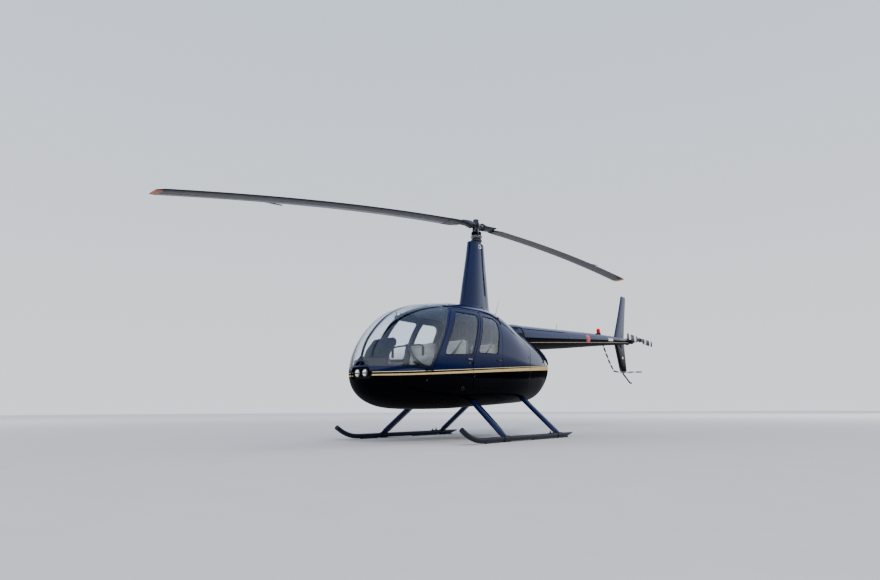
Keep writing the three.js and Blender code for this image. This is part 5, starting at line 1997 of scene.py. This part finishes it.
SKID_TRACK, SKID_RADIUS, SKID_LEVEL = 1.09, 0.032, 0.04
SKID_TAPER, SKID_THINNEST, SKID_LIFT = 0.2, 0.25, 0.7
SKID_PATH = [
    (-0.83, 0.04), (-0.78, 0.04), (-0.7, 0.04), (-0.6, 0.04), (0.3, 0.04), (1.2, 0.04),
    (1.43, 0.04), (1.58, 0.052), (1.73, 0.1), (1.86, 0.172),
]
SHOES = [(-0.68, -0.5), (-0.3, 0.3), (1.06, 1.4)]
# Columns: foot x, then x, half spread and level where the leg meets the belly.
LEGS = {"front": (0.941, 0.824, 0.411, 0.6), "rear": (-0.43, -0.517, 0.354, 0.66)}
# Columns: share of the way from the skid to the belly, chord, thickness.
LEG_FAIRING = [(0.0, 0.1, 0.06), (0.05, 0.13, 0.068), (0.1, 0.155, 0.072), (1.0, 0.155, 0.072)]
LEG_CUFF = [(0.835, 0.166, 0.082), (0.865, 0.166, 0.082)]
WHEEL_POST = -0.28  # x of the fittings for handling wheels


def along_skid(x, half, y, extra, rim):
    """A collar round the skid."""
    start, end = (x - half, y, SKID_LEVEL), (x + half, y, SKID_LEVEL)
    return rod(start, end, SKID_RADIUS + extra, 28, rim)


def landing_gear():
    for side, sign in SIDES:
        y = sign * SKID_TRACK
        path = smooth_path([(x, y, z) for x, z in SKID_PATH], 10)
        taper = np.clip((path[:, 0] - SKID_PATH[0][0]) / SKID_TAPER, 0, 1)
        path[:, 2] += SKID_LIFT * SKID_RADIUS * (1 - taper)
        radii = SKID_RADIUS * (SKID_THINNEST + (1 - SKID_THINNEST) * taper)
        main, clamps = tube(path, radii, 28, dome=False), []
        steel = [
            block((x0, y - 0.02, 0.0), (x1, y + 0.02, 0.016), 0.004, 0.012) for x0, x1 in SHOES
        ]
        for foot, *_ in LEGS.values():
            clamps.append(along_skid(foot, 0.07, y, 0.006, 0.08))
            for x in (foot - 0.055, foot + 0.055):
                clamps.append(along_skid(x, 0.006, y, 0.0085, 0.05))
        x = WHEEL_POST
        steel.append(rod((x, y, 0.06), (x, y, 0.105), 0.012, 16))
        steel.append(rod((x + 0.09, y, 0.06), (x + 0.09, y, 0.10), 0.009, 16))
        steel.append(block((x - 0.03, y - 0.018, 0.066), (x + 0.12, y + 0.018, 0.078), 0.003))
        piece(
            f"skid_tube_{side}", "airframe",
            [(joined(main, *clamps), paint.skid), (joined(*steel), paint.dark_steel)],
            (f"skid_{side}",),
        )
        for which, (foot, top, spread, level) in LEGS.items():
            a, b = np.array((foot, y, SKID_LEVEL + 0.02)), np.array((top, sign * spread, level))
            across = np.cross(b - a, X)
            across /= np.linalg.norm(across)

            def stations(rows):
                return [(a + (b - a) * t, X, across, chord, thick) for t, chord, thick in rows]

            strut = foil_loft(stations(LEG_FAIRING), 4, 40)
            cuff = foil_loft(stations(LEG_CUFF), 2, 40)
            piece(
                f"leg_{which}_{side}_strut", "airframe",
                [(strut, paint.navy), (cuff, paint.rubber)], (f"leg_{which}_{side}",),
            )


landing_gear()


# The main rotor.

ROTOR_AZIMUTH, ROTOR_TILT = math.radians(-3), math.radians(4)
ROTOR_RADIUS, BLADE_DROOP, ROOT_DROP = 5.03, 0.455, 0.012
PLATE_LEVEL = FAIRING_TOP + 0.105
HORN_ALONG, HORN_ACROSS = 0.112, 0.130
LINK_TOP = HUB_HEIGHT - 0.088


def turn_about_z(angle):
    c, s = math.cos(angle), math.sin(angle)
    return np.array(((c, -s, 0), (s, c, 0), (0, 0, 1)))


HEAD_TILT = np.array((
    (math.cos(ROTOR_TILT), 0, math.sin(ROTOR_TILT)), (0, 1, 0),
    (-math.sin(ROTOR_TILT), 0, math.cos(ROTOR_TILT)),
))


def on_head(*shapes, turn=0.0):
    """From the head's own frame, x along a blade, to the machine's."""
    turned = turn_about_z(ROTOR_AZIMUTH) @ HEAD_TILT @ turn_about_z(turn)
    return joined(*shapes).turned(turned).shifted(0, 0, HUB_HEIGHT)


def on_mast(*shapes):
    return joined(*shapes).turned(turn_about_z(ROTOR_AZIMUTH))


def twice(*shapes):
    """The shapes for one blade and the same for the other."""
    shape = joined(*shapes)
    return joined(shape, shape.turned(turn_about_z(math.pi)))


def nut(place, axis, radius=0.012, height=0.009):
    profile = [(0, radius), (height - 0.001, radius), (height, radius * 0.9), (height + 0.001, 0.0)]
    return turned_part(profile, place, axis, 6)


# Columns: height above the fairing, radius.
LOWER_MAST = [
    (0.001, 0.066), (0.012, 0.074), (0.026, 0.074), (0.03, 0.082), (0.036, 0.088), (0.058, 0.088),
    (0.062, 0.078), (0.07, 0.062), (0.1045, 0.062),
]
# Columns: height, radius.
MAST_COLLAR = [(0.0, 0.069), (0.012, 0.086), (0.022, 0.088), (0.024, 0.08), (0.026, 0.04)]
TURNING_PLATE = [
    (0.0006, 0.088), (0.004, 0.092), (0.018, 0.092), (0.022, 0.086), (0.026, 0.06), (0.026, 0.031),
]
SHAFT_TOP = HUB_HEIGHT - 0.07
SHAFT = [
    (2.9, 0.029), (SHAFT_TOP - 0.04, 0.029), (SHAFT_TOP - 0.036, 0.033),
    (SHAFT_TOP - 0.008, 0.033), (SHAFT_TOP, 0.028),
]
FORK = [(-0.034, -0.092), (0.034, -0.092), (0.034, -0.06), (-0.034, -0.06)]
EAR = [(-0.028, -0.07), (0.028, -0.07), (0.026, 0.026), (-0.026, 0.026)]
EAR_THICK = 0.0135


def mast():
    low = [
        turned_part(LOWER_MAST, (0, 0, FAIRING_TOP), Z, 40),
        block((-0.10, -0.012, PLATE_LEVEL - 0.028), (-0.05, 0.012, PLATE_LEVEL - 0.008), 0.003),
    ]
    collar = turned_part(MAST_COLLAR, (0, 0, PLATE_LEVEL - 0.029), Z, 40)
    piece(
        "swashplate_lower", "airframe",
        [(joined(*low), paint.dark_steel), (collar, paint.steel)], ("swashplate_fixed",),
    )
    disc = turned_part(TURNING_PLATE, (0, 0, PLATE_LEVEL), Z, 48)
    boot = [(0.026, 0.074)]
    for i in range(6):
        boot += [(0.030 + 0.010 * i, 0.080), (0.035 + 0.010 * i, 0.068)]
    boot = turned_part(boot + [(0.092, 0.05), (0.094, 0.031)], (0, 0, PLATE_LEVEL), Z, 36)
    x, y, level = HORN_ALONG, HORN_ACROSS, PLATE_LEVEL + 0.013
    end_level = LINK_TOP - 0.010
    links = [
        rod((x, y, level + 0.01), (x, y, LINK_TOP - 0.016), 0.0062, 14),
        rod((x, y, level + 0.028), (x, y, level + 0.046), 0.0085, 6),
    ]
    arm = [(0.045, 0.055, level), (0.08, 0.094, level), (x, y, level)]
    arms = [
        tube(arm, [0.011, 0.009, 0.0085], 14),
        rod((x - 0.009, y, level), (x + 0.009, y, level), 0.0105, 18),
        rod((x - 0.008, y, end_level), (x + 0.008, y, end_level), 0.0098, 18),
    ]
    knee = (-0.125, -0.02, level + 0.035)
    scissor = [
        tube([(-0.085, -0.02, level), knee], 0.007, 10),
        tube([knee, (-0.03, -0.02, level + 0.078)], 0.007, 10),
        rod((knee[0], -0.034, knee[2]), (knee[0], -0.006, knee[2]), 0.008, 14),
    ]
    piece(
        "swashplate_upper", "rotor_mast",
        [
            (on_mast(disc, twice(*links)), paint.steel), (on_mast(boot), paint.rubber),
            (on_mast(twice(*arms), *scissor), paint.dark_steel),
        ],
        ("swashplate_turning",),
    )
    shaft = turned_part(SHAFT, (0, 0, 0), Z, 32)
    fork = slab(rounded(FORK, 0.008), -0.056, 0.056, "y", 0.004)
    ear = rounded(EAR, (0.004, 0.004, 0.024, 0.024), 10)
    ears = [slab(ear, y0, y0 + EAR_THICK, "y", 0.002) for y0 in (0.0422, -0.0557)]
    clamps = [
        nut((0.0, sign * 0.033, SHAFT_TOP - 0.022), Y * sign, 0.008, 0.006) for sign in (1, -1)
    ]
    piece(
        "rotor_shaft_and_fork", "rotor_mast",
        [
            (on_mast(shaft), paint.bright),
            (on_mast(joined(fork, *ears).shifted(0, 0, HUB_HEIGHT)), paint.dark_steel),
            (on_mast(*clamps), paint.steel),
        ],
        ("rotor_shaft",),
    )


# Columns: height above the hub's centre, radius.
HUB_CAP = [
    (0.030, 0.050), (0.044, 0.052), (0.050, 0.046), (0.074, 0.042), (0.078, 0.046), (0.094, 0.045),
    (0.102, 0.034), (0.108, 0.018), (0.109, 0.0),
]
# Columns: distance from the mast, chord, thickness.
ROOT_CUFF = [
    (0.15, 0.13, 0.118), (0.2, 0.16, 0.116), (0.26, 0.19, 0.10), (0.33, 0.21, 0.08),
    (0.40, 0.215, 0.062), (0.4185, 0.205, 0.052),
]
# Columns: distance along the axis, radius.
GRIP_CASE = [(0.122, 0.040), (0.126, 0.052), (0.134, 0.056), (0.19, 0.054), (0.25, 0.04)]
GRIP_BANDS = (0.136, 0.146)
# Columns: distance from the mast, height of the cuff's surface.
CUFF_BOLTS = ((0.255, 0.040), (0.30, 0.034), (0.345, 0.029), (0.39, 0.025))
HUB_PLAN = [(-0.17, -0.03), (-0.06, -0.038), (0.06, -0.038), (0.17, -0.03)]
PITCH_HORN = [
    (0.13, -0.02), (0.185, -0.02), (0.165, 0.08), (0.128, 0.142), (0.098, 0.142), (0.094, 0.118),
    (0.12, 0.06),
]
CONE_X, CONE_Z = 0.1, -0.002  # place of a blade's coning bolt


def hub():
    plan = rounded(HUB_PLAN + [(x, -y) for x, y in HUB_PLAN[::-1]], 0.012, 5)
    core = slab(plan, -0.038, 0.034, "z", 0.006)
    bolt = [rod((0, -0.066, 0), (0, 0.066, 0), 0.0125, 24)]
    washer = [(0, 0.024), (0.004, 0.024), (0.005, 0.02)]
    cone_washer = [(0, 0.021), (0.005, 0.021), (0.006, 0.017)]
    hardware = [rod((CONE_X, -0.052, CONE_Z), (CONE_X, 0.052, CONE_Z), 0.012, 20)]
    for sign in (1, -1):
        out = Y * sign
        bolt.append(turned_part(washer, (0, sign * 0.0575, 0), out, 28))
        bolt.append(nut((0, sign * 0.062, 0), out, 0.019, 0.014))
        hardware.append(turned_part(cone_washer, (CONE_X, sign * 0.036, CONE_Z), out, 24))
        hardware.append(nut((CONE_X, sign * 0.045, CONE_Z), out, 0.017, 0.012))
    hardware += [
        nut((x, 0.0, sign * level), Z * sign, 0.008, 0.008)
        for x, level in CUFF_BOLTS for sign in (1, -1)
    ]
    cap = turned_part(HUB_CAP, (0, 0, 0), Z, 28)
    cuff = foil_loft([((x, 0, 0), Y, Z, chord, thick) for x, chord, thick in ROOT_CUFF], 6, 40)
    grip = [turned_part(GRIP_CASE, (0, 0, 0), X, 36), cuff]
    bands = []
    for x in GRIP_BANDS:
        profile = [(x, 0.054), (x + 0.002, 0.0605), (x + 0.005, 0.0605), (x + 0.007, 0.054)]
        bands.append(turned_part(profile, (0, 0, 0), X, 36))
    x, y = HORN_ALONG, HORN_ACROSS
    horn = [
        slab(rounded(PITCH_HORN, 0.01, 5), -0.03, -0.012, "z", 0.003),
        rod((x, y, -0.05), (x, y, -0.008), 0.0125, 20),
    ]
    stops = [
        block((x, -0.012, 0.034), (x + 0.016, 0.012, 0.05), 0.003) for x in (-0.05, 0.034)
    ]
    piece(
        "rotor_hub_assembly", "rotor_head",
        [
            (on_head(core, cap, twice(*horn)), paint.dark_steel),
            (on_head(*bolt, twice(*hardware), *stops), paint.steel),
            (on_head(twice(*grip)), paint.grip), (on_head(twice(*bands)), paint.rubber),
        ],
        ("rotor_hub",),
    )


# Columns: share of the radius, chord, thickness, twist in degrees.
BLADE_STATIONS = [
    (0.0836, 0.20, 0.05, 6), (0.11, 0.254, 0.034, 6), (0.3, 0.254, 0.03, 4),
    (0.5, 0.254, 0.03, 2.5), (0.7, 0.254, 0.03, 1), (0.86, 0.254, 0.03, 0),
    (0.985, 0.254, 0.03, -1), (1.0, 0.19, 0.014, -1),
]
BLADE_SIDES = 48
NOSE_ZONE, REAR_ZONE = 0.84, -0.25
TAB_SHARE = 0.72


def blade_station(share, less=0.0):
    table = np.array(BLADE_STATIONS)
    chord, thickness, twist = (np.interp(share, table[:, 0], table[:, i]) for i in (1, 2, 3))
    turn = math.radians(twist)
    sag = -BLADE_DROOP * (0.35 * share + 0.65 * share**2) - ROOT_DROP * (1 - share)
    along = (0, math.cos(turn), math.sin(turn))
    across = (0, -math.sin(turn), math.cos(turn))
    return (share * ROTOR_RADIUS, 0, sag), along, across, chord - less, thickness - less


def blade_faces(shape, zone):
    """The faces in one zone of a blade: its nose, the rear of its underside, or the rest."""
    kinds = []
    for k in range(BLADE_SIDES):
        angle = 2 * math.pi * (k + 0.5) / BLADE_SIDES
        rear = math.cos(angle) < REAR_ZONE and math.sin(angle) < 0
        kinds.append("nose" if math.cos(angle) > NOSE_ZONE else "rear" if rear else "rest")
    count = len(shape.faces) - 2
    chosen = [i for i in range(count) if kinds[i % BLADE_SIDES] == zone]
    if zone == "rest":
        chosen += [count, count + 1]
    return Shape(shape.points, [shape.faces[i] for i in chosen])


def main_blades():
    table = np.array(BLADE_STATIONS)
    at = np.unique(np.concatenate([np.linspace(table[0, 0], 1, 70), table[:, 0]]))
    shape = foil_loft([blade_station(share) for share in at], 2, BLADE_SIDES)
    strap = [blade_station(share, -0.006) for share in np.linspace(0.10, 0.145, 6)]
    strap = foil_loft(strap, 2, BLADE_SIDES)
    place, along, *_ = blade_station(TAB_SHARE)
    x, y, z = np.array(place) - np.array(along) * 0.131
    tab = block((x - 0.13, -0.030, -0.0009), (x + 0.13, 0.008, 0.0009), 0.0004, 0.004)
    tab = tab.shifted(0, y, z)
    for i in (0, 1):
        parts = [
            (blade_faces(shape, "rest"), paint.blade),
            # The first blade's rear underside is painted pale, a painted reflection of the sky; the
            # second blade's stays dark.
            (blade_faces(shape, "rear"), paint.blade if i else paint.blade_painted_reflection),
            (blade_faces(shape, "nose"), paint.edge), (strap, paint.blade),
            (tab, paint.dark_steel),
        ]
        piece(
            f"main_blade_{i + 1}_skin", "rotor_head",
            [(on_head(part, turn=math.pi * i), colour) for part, colour in parts],
            (f"main_blade_{i + 1}",),
        )


mast()
hub()
main_blades()


# The engine, seen only through the cowl's openings.


FAN_CASE = [(0, 0.16), (0.02, 0.2), (0.06, 0.205), (0.08, 0.17), (0.081, 0.0)]
GEAR_HOUSING = [(0, 0.22), (0.03, 0.26), (0.10, 0.27), (0.14, 0.22), (0.15, 0.0)]


def engine():
    parts = [
        block((-1.04, -0.2, 0.66), (-0.3, 0.2, 0.98), 0.02, 0.05),
        turned_part(FAN_CASE, (-1.02, 0, 0.86), -X, 40),
        turned_part(GEAR_HOUSING, (-0.62, 0, 1.0), Z, 48),
    ]
    fins, legs = [], []
    for x in (-0.45, -0.70, -0.95):
        for sign in (1, -1):
            start = np.array((x, sign * 0.18, 0.82))
            parts.append(rod(start, start + (0, sign * 0.15, 0), 0.068, 24))
            for k in range(7):
                level = start + (0, sign * (0.02 + 0.018 * k), 0)
                fins.append(rod(level, level + (0, sign * 0.006, 0), 0.082, 24, 0.05))
    for x in (-0.36, -0.94):
        for y in (0.19, -0.19):
            legs.append(block((x - 0.04, y - 0.04, 0.54), (x + 0.04, y + 0.04, 0.68), 0.006))
    piece(
        "engine_dressed", "airframe",
        [
            (joined(*parts), paint.engine), (joined(*fins), paint.dark_steel),
            (joined(*legs), paint.dark_metal),
        ],
        ("engine_block",),
    )


engine()


# The stage, the light and the camera.

CAMERA_PLACE = (5.333, -8.185, 0.412)
CAMERA_HEADING, CAMERA_PITCH, CAMERA_ROLL = 129.596, 11.447, -0.287
CAMERA_LENS = 24.06
FLOOR_RADIUS, FLOOR_SIDES = 70.0, 64


def stage():
    """A floor that gets paler with distance, so that it meets the backdrop softly."""
    cos, sin = circle(FLOOR_SIDES)
    ring = np.stack([FLOOR_RADIUS * cos, FLOOR_RADIUS * sin, np.zeros(FLOOR_SIDES)], 1)
    mesh = bpy.data.meshes.new("studio_floor")
    mesh.from_pydata(ring.tolist(), [], [tuple(range(FLOOR_SIDES))])
    material = new_material("studio_floor", (0.52, 0.52, 0.515), 0.9, Specular_IOR_Level=0.0)
    n = Nodes(material)
    x, y, _ = n.axes()
    away = n.distance(x, y)
    near = n.mix(n.noise(3, 3), (0.53, 0.505, 0.465), (0.57, 0.545, 0.505))
    middle = n.mix(n.ramp(away, 5.0, 26.0), near, (0.78, 0.73, 0.65))
    n.colour(n.mix(n.ramp(away, 20.0, 60.0), middle, (0.99, 0.91, 0.78)))
    mesh.materials.append(material)
    floor = bpy.data.objects.new("studio_floor", mesh)
    bpy.context.scene.collection.objects.link(floor)


def area_light(name, place, target, size, power, colour):
    data = bpy.data.lights.new(name, "AREA")
    data.shape = "RECTANGLE"
    data.size, data.size_y = size
    data.energy = power
    data.color = colour
    made = bpy.data.objects.new(name, data)
    made.visible_glossy = False
    made.visible_transmission = False
    made.location = place
    made.rotation_mode = "QUATERNION"
    made.rotation_quaternion = (Vector(target) - Vector(place)).to_track_quat("-Z", "Y")
    bpy.context.scene.collection.objects.link(made)


HORIZON_RISE = 0.11


def sky(tree, colours):
    """A vertical gradient by direction, from (height, colour) pairs."""
    place = tree.nodes.new("ShaderNodeTexCoord").outputs["Generated"]
    split = tree.nodes.new("ShaderNodeSeparateXYZ")
    tree.links.new(place, split.inputs[0])
    ramp = tree.nodes.new("ShaderNodeValToRGB")
    for i, (position, colour) in enumerate(colours):
        elements = ramp.color_ramp.elements
        stop = elements[i] if i < len(elements) else elements.new(position)
        stop.position, stop.color = position, rgb(colour)
    tree.links.new(split.outputs[2], ramp.inputs[0])
    background = tree.nodes.new("ShaderNodeBackground")
    tree.links.new(ramp.outputs[0], background.inputs["Color"])
    return background


def light():
    """A pale backdrop for the eye, and a soft room with a dark foot for the gloss to reflect."""
    world = bpy.data.worlds.new("studio")
    bpy.context.scene.world = world
    world.use_nodes = True
    tree = world.node_tree
    tree.nodes.remove(tree.nodes["Background"])
    seen = sky(tree, [(0.0, (0.86, 0.88, 0.90)), (0.8, (0.60, 0.69, 0.84))])
    room = sky(
        tree,
        [
            (0.0, (0.05, 0.053, 0.05)), (0.06, (0.07, 0.073, 0.07)),
            (HORIZON_RISE, (0.80, 0.84, 0.90)), (0.85, (0.40, 0.50, 0.76)),
        ],
    )
    room.inputs["Strength"].default_value = 1.15
    path = tree.nodes.new("ShaderNodeLightPath")
    mix = tree.nodes.new("ShaderNodeMixShader")
    tree.links.new(path.outputs["Is Camera Ray"], mix.inputs[0])
    tree.links.new(room.outputs[0], mix.inputs[1])
    tree.links.new(seen.outputs[0], mix.inputs[2])
    tree.links.new(mix.outputs[0], tree.nodes["World Output"].inputs["Surface"])
    area_light("key", (27, -21, 27), (0, -1, 1.5), (21, 15), 8500, (1.0, 0.97, 0.93))
    area_light("fill", (-27, -18, 18), (0, -1, 1), (18, 18), 2700, (0.92, 0.96, 1.0))
    area_light("back", (6, 33, 24), (0, 1, 1.5), (24, 12), 4500, (1.0, 1.0, 1.0))
    bpy.context.scene.view_settings.look = "AgX - Medium High Contrast"


def camera():
    heading, pitch, roll = map(math.radians, (CAMERA_HEADING, CAMERA_PITCH, CAMERA_ROLL))
    flat = math.cos(pitch)
    ahead = Vector((math.cos(heading) * flat, math.sin(heading) * flat, math.sin(pitch)))
    right = Vector((math.sin(heading), -math.cos(heading), 0))
    up = right.cross(ahead)
    level = math.cos(roll) * right + math.sin(roll) * up
    raised = -math.sin(roll) * right + math.cos(roll) * up
    data = bpy.data.cameras.new("photo_camera")
    data.lens = CAMERA_LENS
    data.sensor_width = 36.0
    data.clip_end = 300
    made = bpy.data.objects.new("photo_camera", data)
    turn = Matrix((level, raised, -ahead)).transposed().to_4x4()
    made.matrix_world = Matrix.Translation(CAMERA_PLACE) @ turn
    bpy.context.scene.collection.objects.link(made)
    bpy.context.scene.camera = made


stage()
light()
camera()
